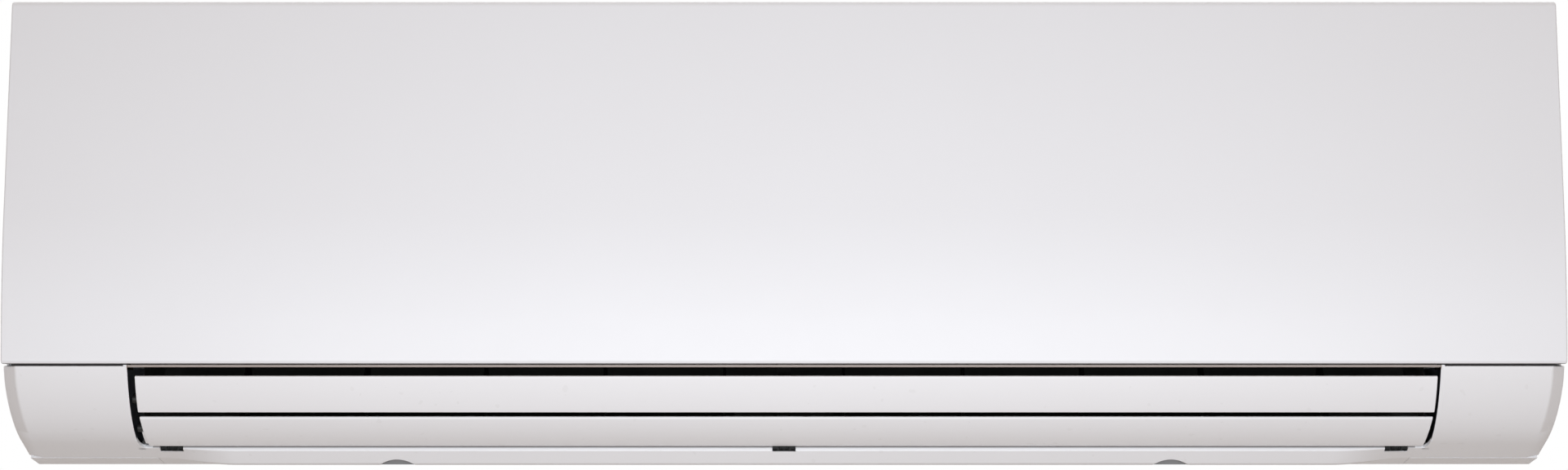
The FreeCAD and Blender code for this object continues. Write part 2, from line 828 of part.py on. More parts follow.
def make_front_frame():
    inside = half_width - s.wall
    frame_top = top - s.frame_top_drop
    ear_stop = around_hinge(ear_room, s.ear_stop_angle)[0]
    riser = hinge_depth - ear_room - s.seat_gap
    lip_corner = (lip_front, lip_height - s.lip_fall)
    lip = [lip_corner, Arc(run_point(s.lip_start), s.lip_round, "right"), lip_back,
           (lip_back[0], lip_height)]
    chin = (s.body_depth - s.chin_setback, s.chin_height)
    chin_foot = (chin[0] - s.chin_slope, s.chin_foot)
    overlap = s.lip_back_run - s.wall * 2
    skirt = [lip_corner, Arc(chin, s.chin_round, "right"), chin_foot, (chin_foot[0] - s.chin_chamfer, 0),
             (skirt_depth, 0), (skirt_depth, s.wall), run_point(s.cheek_run, s.wall),
             run_point(overlap, s.wall)]
    rail_low = cheek_top - s.rail_height
    face_back = s.body_depth - face_offset - s.wall
    rail_front = on_curve(s.cheek_radius, s.cheek_start)[0]
    rail = [(face_back, cheek_top), (face_back, rail_low), (rail_front - s.rail_chamfer, rail_low),
            (rail_front, cheek_top)]
    rail_web = (face_back, face_back + s.wall)
    solids = [box("frame_top", (-inside, inside), (s.frame_back, ear_stop),
                  (frame_top - s.wall, frame_top)),
              extrude("frame_face", "section", -inside, inside,
                      front_strip(face_offset, face_offset + s.wall, s.face_low, face_high)),
              box("frame_riser", (-inside, inside), (riser - s.wall, riser),
                  (face_high - s.wall, frame_top)),
              extrude("frame_lip", "section", -outlet_half, outlet_half, lip),
              extrude("frame_skirt", "section", -skirt_half, skirt_half, skirt),
              extrude("frame_rail", "section", -outlet_half, outlet_half, rail),
              box("frame_rail_web", (-outlet_half, outlet_half), rail_web, (rail_low, s.face_low + s.wall))]
    for side, name in ((-1, "left"), (1, "right")):
        solids += cheek_pieces(side, name)
    for direction in (-1, 1):
        post = (louver_motor_centre[0] + s.louver_motor_ear * direction, louver_motor_centre[1])
        solids.append(x_peg("louver_motor_post", outlet_half, louver_motor_x - s.louver_motor_plate, post,
                            s.louver_post_radius, pin_sides))
    bar = s.window_bar / 2
    heights = (s.window_low, window_high)
    depths = (lip_front, s.body_depth)
    tools = [box("grille_opening", (-grille_half, grille_half), (s.grille_back, grille_front),
                 (frame_top - s.wall * 2, top)),
             box("window_left", (window_left, -bar), depths, heights),
             box("window_right", (bar, window_right), depths, heights),
             depth_hole("button_hole", button_x, s.button_height, lip_front, s.body_depth,
                        s.button_stem_radius + s.pin_gap, peg_sides)]
    for index in (-1, 0, 1):
        middle = notch_pitch * index
        tools.append(box("lip_notch", (middle - s.notch_width / 2, middle + s.notch_width / 2),
                         (notch_depth, s.body_depth), (s.notch_floor, lip_height + s.wall)))
    for side, name in ((-1, "left"), (1, "right")):
        tools.append(depth_rod(f"scoop_{name}", s.scoop_pitch * side, s.scoop_rise - s.scoop_radius,
                               skirt_depth - s.wall, s.body_depth, s.scoop_radius))
        tools.append(depth_hole(f"frame_screw_hole_{name}", screw_boss_x * side, s.screw_boss_height,
                                lip_front, s.body_depth, s.screw_radius + s.seat_gap, peg_sides))
        wall_range = span(side, outlet_half - s.wall, outlet_half + s.wall * 2)
        for axis, axis_name in ((upper_axis, "upper"), (lower_axis, "lower")):
            tools.append(x_hole(f"{axis_name}_axle_hole_{name}", *wall_range, axis,
                                s.axle_radius + s.pin_gap, pin_sides))
        pin = span(side, half_width - s.hinge_lug_length * 3, half_width - s.wall)
        tools.append(x_hole(f"hinge_hole_{name}", *pin, hinge, s.hinge_pin_radius + s.pin_gap, pin_sides))
    node("front_frame", cut("frame_cut", fuse("frame_solid", *solids), *tools))


def make_top_grille():
    frame_top = top - s.frame_top_drop
    half = grille_half - s.seat_gap
    back = s.grille_back + s.seat_gap
    front = grille_front - s.seat_gap
    heights = (frame_top - s.grille_thick, frame_top)
    rim = cut("grille_rim", box("grille_outside", (-half, half), (back, front), heights),
              box("grille_inside", (s.grille_rim - half, half - s.grille_rim),
                  (back + s.grille_rim, front - s.grille_rim), (heights[0] - 1, top)))
    slats = 6
    ribs = 5
    bars = [rim]
    for index in range(1, slats + 1):
        middle = back + (front - back) * index / (slats + 1)
        bars.append(box("grille_slat", (s.grille_rim / 2 - half, half - s.grille_rim / 2),
                        (middle - s.grille_slat / 2, middle + s.grille_slat / 2), heights))
    for index in range(1, ribs + 1):
        middle = half * (2 * index / (ribs + 1) - 1)
        bars.append(box("grille_rib", (middle - s.grille_slat / 2, middle + s.grille_slat / 2),
                        (back + s.grille_rim / 2, front - s.grille_rim / 2), heights))
    node("top_grille", fuse("grille_joined", *bars))


def make_filter(label, x_low, x_high):
    back = face_offset - s.seat_gap
    front = back - s.filter_thick
    low = s.window_low - s.filter_overlap
    high = window_high + s.filter_overlap
    frame = extrude(f"{label}_frame", "section", x_low, x_high, bend_strip(front, back, low, high))
    columns = 3
    rows = 2
    cell_x = (x_high - x_low - s.filter_rim) / columns
    cell_h = (high - low - s.filter_rim) / rows
    cells = []
    for column in range(columns):
        for level in range(rows):
            left = x_low + s.filter_rim + cell_x * column
            bottom = low + s.filter_rim + cell_h * level
            cells.append(box("filter_cell", (left, left + cell_x - s.filter_rim),
                             (lip_front, s.body_depth), (bottom, bottom + cell_h - s.filter_rim)))
    middle = front + s.filter_thick / 2
    mesh = extrude(f"{label}_mesh", "section", x_low + s.filter_rim / 2, x_high - s.filter_rim / 2,
                   bend_strip(middle, middle + s.filter_mesh, low + s.filter_rim / 2,
                              high - s.filter_rim / 2))
    node(label, fuse(f"{label}_joined", cut(f"{label}_cut", frame, *cells), mesh))


def make_filters():
    inner = s.window_bar / 2 - s.filter_overlap
    make_filter("left_filter", window_left - s.filter_overlap, -inner)
    make_filter("right_filter", inner, window_right + s.filter_overlap)


# Louvers: blades on the outlet curve, with arms back to their axles
louver_half = outlet_half - s.louver_end_gap
arm_inner = s.support_width / 2 + s.seat_gap
crank_end = crank_x + s.crank_wall
pin_sides = 12


def louver_pieces(name, axis, blade, arm, rib_angle):
    inside = s.cheek_radius - s.louver_wall
    strip = [on_curve(s.cheek_radius, blade[0]),
             Arc(on_curve(s.cheek_radius, blade[1]), s.cheek_radius, "right"),
             on_curve(inside, blade[1]), Arc(on_curve(inside, blade[0]), inside, "left")]
    middle = s.cheek_radius - s.louver_wall / 2
    arm_foot = on_curve(middle, (arm[0] + arm[1]) / 2)
    run = (axis[0] - arm_foot[0], axis[1] - arm_foot[1])
    length = root_of(run[0] * run[0] + run[1] * run[1])
    along = (run[0] / length * s.arm_boss_radius, run[1] / length * s.arm_boss_radius)
    web = [on_curve(middle, arm[0]), Arc(on_curve(middle, arm[1]), middle, "right"),
           (axis[0] - along[1], axis[1] + along[0]),
           Arc((axis[0] + along[0], axis[1] + along[1]), s.arm_boss_radius, "right"),
           Arc((axis[0] + along[1], axis[1] - along[0]), s.arm_boss_radius, "right")]
    rib_low = s.cheek_radius - s.louver_wall * 2.5
    rib = [on_curve(middle, rib_angle - 1), on_curve(middle, rib_angle + 1),
           on_curve(rib_low, rib_angle + 1), on_curve(rib_low, rib_angle - 1)]
    axle_left = -outlet_half - s.wall - s.axle_radius
    end_arm = louver_half - s.arm_wall
    left_end = s.louver_shift - louver_half
    left_arm = s.louver_shift - end_arm
    middle_arm = arm_inner + s.arm_wall
    solids = [extrude(f"{name}_blade", "section", left_end, s.louver_shift + louver_half, strip),
              extrude(f"{name}_rib", "section", left_arm, end_arm, rib),
              x_peg(f"{name}_axle_left", axle_left, left_arm, axis, s.axle_radius, pin_sides),
              x_peg(f"{name}_axle_right", end_arm, crank_end, axis, s.axle_radius, pin_sides),
              x_peg(f"{name}_middle_pin", -arm_inner - s.arm_wall, arm_inner + s.arm_wall, axis,
                    s.support_pin_radius, pin_sides)]
    for low, high in ((left_end, left_arm), span(-1, arm_inner, middle_arm),
                      span(1, arm_inner, middle_arm), span(1, end_arm, louver_half)):
        solids.append(extrude(f"{name}_arm", "section", low, high, web))
    crank_pin = (axis[0] - s.crank_reach, axis[1])
    solids.append(box(f"{name}_crank", (crank_x, crank_end),
                      (crank_pin[0] - s.crank_half, axis[0] + s.crank_half),
                      (axis[1] - s.crank_half, axis[1] + s.crank_half)))
    solids.append(x_peg(f"{name}_crank_pin", crank_x, crank_end + s.seat_gap + s.link_wall, crank_pin,
                        s.support_pin_radius, pin_sides))
    return solids


def make_louvers():
    upper = louver_pieces("upper", upper_axis, (s.upper_from, s.upper_to),
                          (s.upper_from + 3, s.upper_to - 2), (s.upper_from + s.upper_to) / 2)
    upper.append(x_peg("upper_drive", crank_end, louver_motor_x - s.louver_motor_plate - s.seat_gap * 2,
                       upper_axis, s.axle_radius, pin_sides))
    node("upper_louver", fuse("upper_joined", *upper))
    lower = louver_pieces("lower", lower_axis, (s.lower_from, s.lower_to),
                          (s.lower_from + 13, s.lower_to - 2), s.lower_from + 8)
    node("lower_louver", fuse("lower_joined", *lower))
    make_louver_link()


def make_louver_link():
    first = (upper_axis[0] - s.crank_reach, upper_axis[1])
    last = (lower_axis[0] - s.crank_reach, lower_axis[1])
    run = (first[0] - last[0], first[1] - last[1])
    length = root_of(run[0] * run[0] + run[1] * run[1])
    along = (run[0] / length * s.crank_half, run[1] / length * s.crank_half)

    def corner(centre, forward, side):
        return (centre[0] + along[0] * forward - along[1] * side,
                centre[1] + along[1] * forward + along[0] * side)

    outline = [corner(last, -1, 1), corner(last, -1, -1), corner(first, 1, -1), corner(first, 1, 1)]
    hole = s.support_pin_radius + s.pin_gap
    start = crank_end + s.seat_gap
    node("louver_link", extrude("link", "section", start, start + s.link_wall, outline,
                                ring(first, hole, pin_sides), ring(last, hole, pin_sides)))


def make_louver_motor():
    centre = louver_motor_centre
    start = louver_motor_x
    plate = start - s.louver_motor_plate
    reach = s.louver_motor_ear + s.louver_post_radius
    ears = box("louver_motor_ears", (plate, start), (centre[0] - reach, centre[0] + reach),
               (centre[1] - s.louver_post_radius, centre[1] + s.louver_post_radius))
    can = extrude("louver_motor_can", "section", start, start + s.louver_motor_length,
                  ring(centre, s.louver_motor_radius, 24))
    boss = extrude("louver_motor_boss", "section", plate - s.seat_gap, start,
                   ring(upper_axis, s.arm_boss_radius, pin_sides))
    node("louver_motor", fuse("louver_motor_joined", ears, can, boss))


def make_louver_supports():
    half = s.support_width / 2
    hole_radius = s.support_pin_radius + s.pin_gap
    boss = s.support_boss_radius
    roof = upper_axis[0] - boss
    roof_front = upper_axis[0] + boss
    hanger = [(roof, upper_axis[1]), Arc((upper_axis[0], upper_axis[1] - boss), boss, "left"),
              Arc((roof_front, upper_axis[1]), boss, "left"),
              (roof_front, ceiling(roof_front) - s.seat_gap), (roof, ceiling(roof) - s.seat_gap)]
    stand_back = chassis_nose[0] - boss * 3
    stand_front = chassis_nose[0] - boss
    knee = lower_axis[1] + boss * 2
    stand = [(stand_back, floor_at(stand_back) + s.seat_gap),
             (stand_front, floor_at(stand_front) + s.seat_gap),
             (lower_axis[0] - boss * 4, knee), (lower_axis[0] - boss, knee),
             (lower_axis[0] - boss, lower_axis[1]),
             Arc((lower_axis[0], lower_axis[1] - boss), boss, "left"),
             Arc((lower_axis[0] + boss, lower_axis[1]), boss, "left"),
             (lower_axis[0] + boss * 0.5, knee + boss * 1.5),
             (lower_axis[0] - boss * 5, knee + boss * 1.5)]
    for label, axis, outline in (("upper_louver_support", upper_axis, hanger),
                                 ("lower_louver_support", lower_axis, stand)):
        hole = ring(axis, hole_radius, pin_sides)
        node(label, extrude(f"{label}_web", "section", -half, half, outline, hole))


def make_lip_clips():
    clips = []
    for index in (-1, 0, 1):
        middle = notch_pitch * index
        half = s.notch_width / 2 - s.seat_gap
        clips.append(cut("lip_clip", box("clip_block", (middle - half, middle + half),
                                         (notch_depth + s.seat_gap, lip_front + s.seat_gap),
                                         (s.notch_floor + s.seat_gap, lip_height - s.lip_fall)),
                         box("clip_slot", (middle - half / 2, middle + half / 2),
                             (lip_front - s.wall / 2, lip_front + s.wall),
                             (s.notch_floor + s.wall / 2, lip_height))))
    node("lip_clips", group("lip_clip_set", *clips))


def chassis_front(step):
    # underside of the chassis from the base step up to its nose
    edge = skirt_depth - s.seat_gap * 2
    rise = s.wall + s.seat_gap
    return [(edge - step, step), (edge - step, rise + step), run_point(s.cheek_run, rise + step)]


def make_rear_chassis():
    back = s.chassis_back
    inner_back = back + s.wall
    half = chassis_half
    rear_wall = [(back, chassis_top), (back, s.chassis_edge), (back + s.chassis_edge, 0)]
    nose_top = (chassis_nose[0], lip_height)
    thick_radius = scroll_radius + s.wall
    outline = [*rear_wall, *chassis_front(size_of(0)), chassis_nose, nose_top, scroll_foot,
               Arc(on_scroll(scroll_radius, s.scroll_nose), scroll_radius, "right"),
               on_scroll(thick_radius, s.scroll_nose),
               Arc(scroll_back(thick_radius, s.trough_height), thick_radius, "left"),
               (inner_back, s.trough_height), (inner_back, chassis_top)]
    front = chassis_front(s.wall)
    floor_start = (scroll_foot[0], scroll_foot[1] - s.wall)
    floor_end = chassis_nose[0] - s.wall
    hollow = [(inner_back, s.trough_height - s.wall), (inner_back, s.wall), *front,
              (floor_end, front[-1][1] + s.seat_gap), (floor_end, floor_at(floor_end) - s.wall),
              floor_start,
              Arc(scroll_back(thick_radius, s.trough_height - s.wall), thick_radius, "right")]
    bay = [*rear_wall, *chassis_front(size_of(0)), chassis_nose, nose_top,
           (floor_end, lip_height), (floor_end, front[-1][1] + s.seat_gap), *reversed(front),
           (inner_back, s.wall), (inner_back, chassis_top)]
    end_wall = [*rear_wall, *chassis_front(size_of(0)), chassis_nose, (chassis_nose[0], s.box_low),
                (box_back - s.seat_gap, s.box_low + s.wall), (box_back - s.seat_gap, s.box_high),
                (fan_depth, chassis_top)]
    bay_edge = bay_x + s.bulkhead
    foot_line = run_point(s.cheek_run)
    foot_run = s.seat_gap + s.pin_gap
    slope = foot_line[1] / (foot_line[0] - skirt_depth)
    foot_end = (foot_line[0] - foot_run, foot_line[1] - foot_run * slope - s.pin_gap)
    base_strip = [(skirt_depth - s.wall, 0), (skirt_depth, 0), foot_end,
                  run_point(s.cheek_run + s.seat_gap * 2, s.wall + s.seat_gap * 2),
                  (skirt_depth - s.wall, s.wall + s.seat_gap * 2)]
    solids = [extrude("scroll", "section", -bay_edge, bay_edge, outline, hollow)]
    around = scroll_radius + s.wall / 2
    foot = on_scroll(around, 270)
    bulkhead = [foot, (chassis_nose[0], lip_height - s.wall / 2),
                (chassis_nose[0], ceiling(chassis_nose[0])),
                (fan_depth + s.fan_radius, s.fan_height + s.fan_radius * 0.8),
                on_scroll(around, s.scroll_nose), Arc(foot, around, "left")]
    tools = []
    for side, name in ((-1, "left"), (1, "right")):
        solids.append(extrude(f"bay_{name}", "section", *span(side, bay_x, half), bay))
        solids.append(extrude(f"base_strip_{name}", "section", *span(side, skirt_half + s.seat_gap, half),
                              base_strip))
        solids.append(extrude(f"end_wall_{name}", "section", *span(side, half - s.bulkhead, half),
                              end_wall))
        solids.append(extrude(f"bulkhead_{name}", "section", *span(side, bay_x, bay_edge), bulkhead))
        boss_back = box_back - s.wall
        boss_front = s.body_depth - face_offset - s.wall - s.seat_gap
        boss_x = screw_boss_x * side
        solids.append(depth_peg(f"screw_boss_{name}", boss_x, s.screw_boss_height, boss_back, boss_front,
                                s.screw_boss_radius, pin_sides))
        solids.append(box(f"boss_rib_{name}", span(side, screw_boss_x, half - s.bulkhead / 2),
                          (boss_back, boss_front),
                          (s.screw_boss_height - s.wall / 2, s.screw_boss_height + s.wall / 2)))
        tools.append(depth_hole(f"boss_hole_{name}", boss_x, s.screw_boss_height,
                                boss_front - s.screw_length, boss_front + s.wall,
                                s.screw_radius + s.pin_gap, peg_sides))
        hook_half = s.hook_width / 2 + s.hook_play
        hook = (hook_x * side - hook_half, hook_x * side + hook_half)
        tools.append(box(f"hook_window_{name}", hook, (back - s.wall, inner_back + s.wall),
                         (hook_height - s.hook_rise, hook_height + s.plate_wall + s.seat_gap)))
        tools.append(box(f"pipe_port_{name}", span(side, bay_edge, half - s.bulkhead),
                         (back - s.wall, inner_back + s.wall), (s.port_low, s.port_high)))
        for index in range(vanes_a_side):
            x = (vane_first + vane_pitch * index) * side
            start = on_floor(s.vane_pivot, -s.wall * 2)
            tools.append(leaning_peg(f"vane_hole_{name}", (x, *start), s.wall * 3,
                                     peg_hole(s.vane_pin_radius), s.floor_slope, peg_sides))
    ring_out = s.ring_radius + s.ring_seat_wall
    seat_end = half - s.bulkhead
    seat_start = seat_end - s.ring_length - s.ring_seat_wall
    seat_hole = s.ring_radius + s.pin_gap
    solids.append(x_peg("ring_seat", seat_start, seat_end, fan_axis, ring_out, motor_sides))
    tools.append(x_hole("ring_seat_hole", seat_start - s.ring_seat_wall, seat_end, fan_axis, seat_hole,
                        motor_sides))
    tools.append(x_hole("motor_hole", bay_x - s.bulkhead, bay_edge + s.bulkhead, fan_axis, seat_hole,
                        motor_sides))
    tools.append(x_hole("bearing_hole", -bay_edge - s.bulkhead, s.bulkhead - bay_x, fan_axis,
                        s.holder_radius + s.pin_gap, motor_sides))
    node("rear_chassis", cut("chassis_cut", fuse("chassis_solid", *solids), *tools))


# Upright vanes in the outlet, five a side, turned together by a link rod
vanes_a_side = 5
vane_pitch = (outlet_half - s.vane_margin) / vanes_a_side
vane_first = vane_pitch / 2
peg_sides = 8
rod_along = s.vane_pivot + s.vane_reach


def peg_hole(radius):
    # a many-sided hole whose flats clear the peg's corners
    return (radius + s.pin_gap) / cos_of(180 / peg_sides)


def make_vane(label, x):
    blade = [on_floor(s.vane_back, s.vane_low), on_floor(rod_along - s.rod_half * 2, s.vane_low),
             on_floor(rod_along - s.rod_half * 2, s.vane_step), on_floor(s.vane_front, s.vane_step),
             on_floor(s.vane_front, s.vane_high),
             on_floor(s.vane_back, s.vane_high)]
    half = s.vane_wall / 2
    web = extrude(f"{label}_blade", "section", x - half, x + half, blade)
    pivot = leaning_peg(f"{label}_pivot", (x, *on_floor(s.vane_pivot, -s.wall / 2)),
                        s.vane_step + s.wall / 2, s.vane_pin_radius, s.floor_slope, peg_sides)
    pin = leaning_peg(f"{label}_rod_pin", (x, *on_floor(rod_along, s.rod_low)),
                      s.vane_step - s.rod_low + s.rod_half, s.rod_pin_radius, s.floor_slope, peg_sides)
    node(label, fuse(f"{label}_joined", web, pivot, pin))


def make_rod(label, side):
    low = on_floor(rod_along - s.rod_half, s.rod_low)
    end_margin = s.rod_half * 2
    outline = [low, on_floor(rod_along + s.rod_half, s.rod_low),
               on_floor(rod_along + s.rod_half, s.rod_low + s.rod_wall),
               on_floor(rod_along - s.rod_half, s.rod_low + s.rod_wall)]
    reach = vane_first + vane_pitch * (vanes_a_side - 1)
    bar = extrude(f"{label}_bar", "section", *span(side, vane_first - end_margin, reach + end_margin),
                  outline)
    holes = []
    for index in range(vanes_a_side):
        x = (vane_first + vane_pitch * index) * side
        holes.append(leaning_peg(f"{label}_hole", (x, *on_floor(rod_along, s.rod_low - s.rod_wall)),
                                 s.rod_wall * 3, peg_hole(s.rod_pin_radius), s.floor_slope, peg_sides))
    node(label, cut(f"{label}_cut", bar, *holes))


def make_vanes():
    for side, name in ((-1, "left"), (1, "right")):
        for index in range(vanes_a_side):
            make_vane(f"{name}_vane_{index + 1}", (vane_first + vane_pitch * index) * side)
        make_rod(f"{name}_vane_rod", side)


# Cross-flow fan wheel: blades between discs, with a hub at each end
def make_fan():
    body = doc.addObject("PartDesign::Body", "fan")
    place(body, 0, fan_depth, s.fan_height)
    axis = [feature for feature in body.Origin.OriginFeatures if feature.Role == "X_Axis"][0]
    blade_count = 18
    fan_sides = 24
    inner = s.fan_inner_radius
    outer = s.fan_radius - s.blade_wall
    lead = 24
    foot = (inner * cos_of(0), inner * sin_of(0))
    tip = (outer * cos_of(lead), outer * sin_of(lead))
    half = s.blade_wall / 2
    bend_radius = (inner + outer) / 2 + s.blade_bow
    bend = (bend_radius * cos_of(lead / 3), bend_radius * sin_of(lead / 3))
    blade = [(foot[0], foot[1] - half), (bend[0] + half, bend[1] - half), (tip[0] + half, tip[1] - half),
             (tip[0] - half, tip[1] + half), (bend[0] - half, bend[1] + half), (foot[0], foot[1] + half)]
    pad = add_pad(body, "section", fan_left, fan_right, [blade])
    pattern = body.newObject("PartDesign::PolarPattern", "blades")
    pattern.Originals = [pad]
    pattern.Axis = (axis, [""])
    pattern.Angle = 360
    pattern.Occurrences = blade_count
    body.Tip = pattern
    centre = (0, 0)
    bore = ring(centre, s.shaft_radius + s.pin_gap, pin_sides)
    edge = peg_ring(centre, s.fan_radius, fan_sides)
    rim = [edge, ring(centre, inner - s.blade_wall * 2, fan_sides)]
    middle = (fan_left + fan_right) / 2
    add_pad(body, "section", middle - s.fan_disc / 2, middle + s.fan_disc / 2, rim)
    solid = [edge, bore]
    hub = [peg_ring(centre, s.hub_radius, pin_sides), bore]
    add_pad(body, "section", fan_left, fan_left + s.fan_disc, solid)
    add_pad(body, "section", fan_left + s.fan_disc, fan_left + s.hub_length, hub)
    add_pad(body, "section", fan_right - s.fan_disc, fan_right, solid)
    add_pad(body, "section", fan_right - s.hub_length, fan_right - s.fan_disc, hub)
    node("fan_wheel", body)
    holder_end = bay_x + s.bulkhead * 2
    stub = x_peg("stub", -holder_end, fan_left + s.hub_length, fan_axis, s.shaft_radius, pin_sides)
    drive = x_peg("drive", fan_right - s.hub_length, motor_end, fan_axis, s.shaft_radius, pin_sides)
    node("fan_shafts", group("shaft_pair", stub, drive))


motor_end = chassis_half - s.bulkhead - s.seat_gap * 10
motor_sides = 16


def make_motor():
    seat_end = chassis_half - s.bulkhead - s.seat_gap
    start = bay_x + s.seat_gap
    can = extrude("motor_can", "section", motor_from, motor_to,
                  ring(fan_axis, s.motor_radius, motor_sides))
    bosses = [x_peg("motor_boss", low, high, fan_axis, s.motor_boss_radius, motor_sides)
              for low, high in ((start, motor_from), (motor_to, motor_end))]
    bore = x_hole("motor_bore", bay_x, seat_end, fan_axis, s.shaft_radius + s.pin_gap, pin_sides)
    node("fan_motor", cut("motor_cut", fuse("motor_solid", can, *bosses), bore))
    holder_from = -bay_x - s.bulkhead - s.seat_gap * 10
    mounts = [extrude("bearing_holder", "section", holder_from, holder_from + s.holder_length,
                      peg_ring(fan_axis, s.holder_radius, motor_sides),
                      ring(fan_axis, s.shaft_radius + s.pin_gap, pin_sides))]
    for low in (start, seat_end - s.ring_length - s.ring_seat_wall / 2):
        mounts.append(extrude("motor_ring", "section", low, low + s.ring_length,
                              peg_ring(fan_axis, s.ring_radius, motor_sides),
                              ring(fan_axis, s.motor_boss_radius + s.pin_gap, motor_sides)))
    node("rubber_mounts", group("mount_set", *mounts))
    clamp_x = (motor_from + motor_to - s.clamp_width) / 2
    inner = s.motor_radius + s.seat_gap
    strap = extrude("clamp_strap", "section", clamp_x, clamp_x + s.clamp_width,
                    ring(fan_axis, inner + s.clamp_wall, motor_sides), ring(fan_axis, inner, motor_sides))
    wall_front = s.chassis_back + s.wall + s.seat_gap
    foot = box("clamp_foot", (clamp_x, clamp_x + s.clamp_width),
               (wall_front, fan_depth - inner - s.clamp_wall / 2),
               (s.fan_height + s.clamp_wall, s.fan_height + s.clamp_wall * 2))
    tab = box("clamp_tab", (clamp_x, clamp_x + s.clamp_width), (wall_front, wall_front + s.clamp_wall),
              (s.fan_height + s.clamp_wall, s.fan_height + s.clamp_width * 2))
    node("motor_clamp", fuse("clamp_joined", strap, foot, tab))


# Coil: three fin blocks folded over the fan, each given by the middle of its lower end, its length
# and the way it leans; the rear block ends beside the top of the upper front block
front_coil_top = s.front_coil_low + s.front_coil_length
front_coil_depth = front_at(face_offset + s.wall, front_coil_top) - s.seat_gap - s.coil_thick / 2
upper_coil_depth = front_coil_depth - s.coil_fold_step
upper_coil_low = front_coil_top + s.coil_fold_gap
upper_coil_top = top - s.upper_coil_drop
upper_lean = (cos_of(s.upper_coil_lean), sin_of(s.upper_coil_lean))
upper_coil_length = (upper_coil_top - upper_coil_low) / upper_lean[0]
rear_run = upper_coil_depth - upper_coil_length * upper_lean[1] - s.ridge_gap - s.rear_coil_depth
rear_rise = upper_coil_top - s.ridge_drop - s.rear_coil_low
rear_coil_length = root_of(rear_run * rear_run + rear_rise * rear_rise)
rear_lean = (rear_rise / rear_coil_length, -rear_run / rear_coil_length)
front_lean = (size_of(1), size_of(0))
coil_banks = {
    "front_lower_coil": (front_coil_depth, s.front_coil_low, s.front_coil_length, front_lean),
    "front_upper_coil": (upper_coil_depth, upper_coil_low, upper_coil_length, upper_lean),
    "rear_coil": (s.rear_coil_depth, s.rear_coil_low, rear_coil_length, rear_lean),
}


def on_bank(bank, along, across):
    depth, low, length, (upright, leaning) = bank
    return (depth - along * leaning + across * upright, low + along * upright + across * leaning)


def bank_outline(bank, reach):
    half = s.coil_thick / 2
    end = bank[2] + reach
    return [on_bank(bank, -reach, -half), on_bank(bank, -reach, half), on_bank(bank, end, half),
            on_bank(bank, end, -half)]


def make_coil():
    none = size_of(0)
    for label, bank in coil_banks.items():
        node(label, extrude(f"{label}_fins", "section", coil_left, coil_right, bank_outline(bank, none)))
    plates = []
    for start, name in ((coil_left - s.coil_plate, "left"), (coil_right, "right")):
        sheets = [extrude(f"plate_{name}_{label}", "section", start, start + s.coil_plate,
                          bank_outline(bank, s.coil_plate_reach if label != "front_lower_coil" else none))
                  for label, bank in coil_banks.items()]
        lower = coil_banks["front_lower_coil"]
        half = s.coil_thick / 2
        tie = [on_bank(lower, lower[2] - half, -half), on_bank(lower, lower[2] - half, half),
               on_bank(lower, lower[2] + half, half), on_bank(lower, lower[2] + half, -half)]
        sheets.append(extrude(f"plate_tie_{name}", "section", start, start + s.coil_plate, tie))
        upper = coil_banks["front_upper_coil"]
        rear = coil_banks["rear_coil"]
        none = size_of(0)
        ridge = [on_bank(rear, rear[2] - half, none), on_bank(upper, upper[2] - half, none),
                 on_bank(upper, upper[2], none), on_bank(rear, rear[2], none)]
        sheets.append(extrude(f"plate_ridge_{name}", "section", start, start + s.coil_plate, ridge))
        plates.append(fuse(f"end_plate_{name}", *sheets))
    node("coil_end_plates", group("end_plate_pair", *plates))


tube_sides = 16


def return_bend(bank, along, lean):
    # half a turn of tube between two stations of a bank, standing off its end plate
    body = doc.addObject("PartDesign::Body", "return_bend")
    body.Placement = FreeCAD.Placement(FreeCAD.Vector(), FreeCAD.Rotation(FreeCAD.Vector(1, 0, 0), 1))
    place(body, coil_right + s.coil_plate, *on_bank(bank, along, s.tube_row))
    bind(body, "Placement.Rotation.Angle", lean)
    outer = s.tube_pitch / 2 + s.tube_radius
    inner = s.tube_pitch / 2 - s.tube_radius
    turns = (-90, -45, 0, 45, 90)
    outline = [(outer * cos_of(turn), outer * sin_of(turn)) for turn in turns]
    outline += [(inner * cos_of(turn), inner * sin_of(turn)) for turn in reversed(turns)]
    add_pad(body, "front", -s.tube_radius, s.tube_radius, [outline])
    return body


def make_bends():
    rear_turn = Size(math.degrees(math.atan2(rear_run.number, rear_rise.number)),
                     f"atan({rear_run.text} / {rear_rise.text})")
    leans = (size_of(0), -s.upper_coil_lean, rear_turn)
    bends = []
    for bank, lean in zip(coil_banks.values(), leans):
        first = (bank[2] - s.tube_pitch * 2) / 2
        bends += [return_bend(bank, first, lean), return_bend(bank, first + s.tube_pitch * 2, lean)]
    return bends


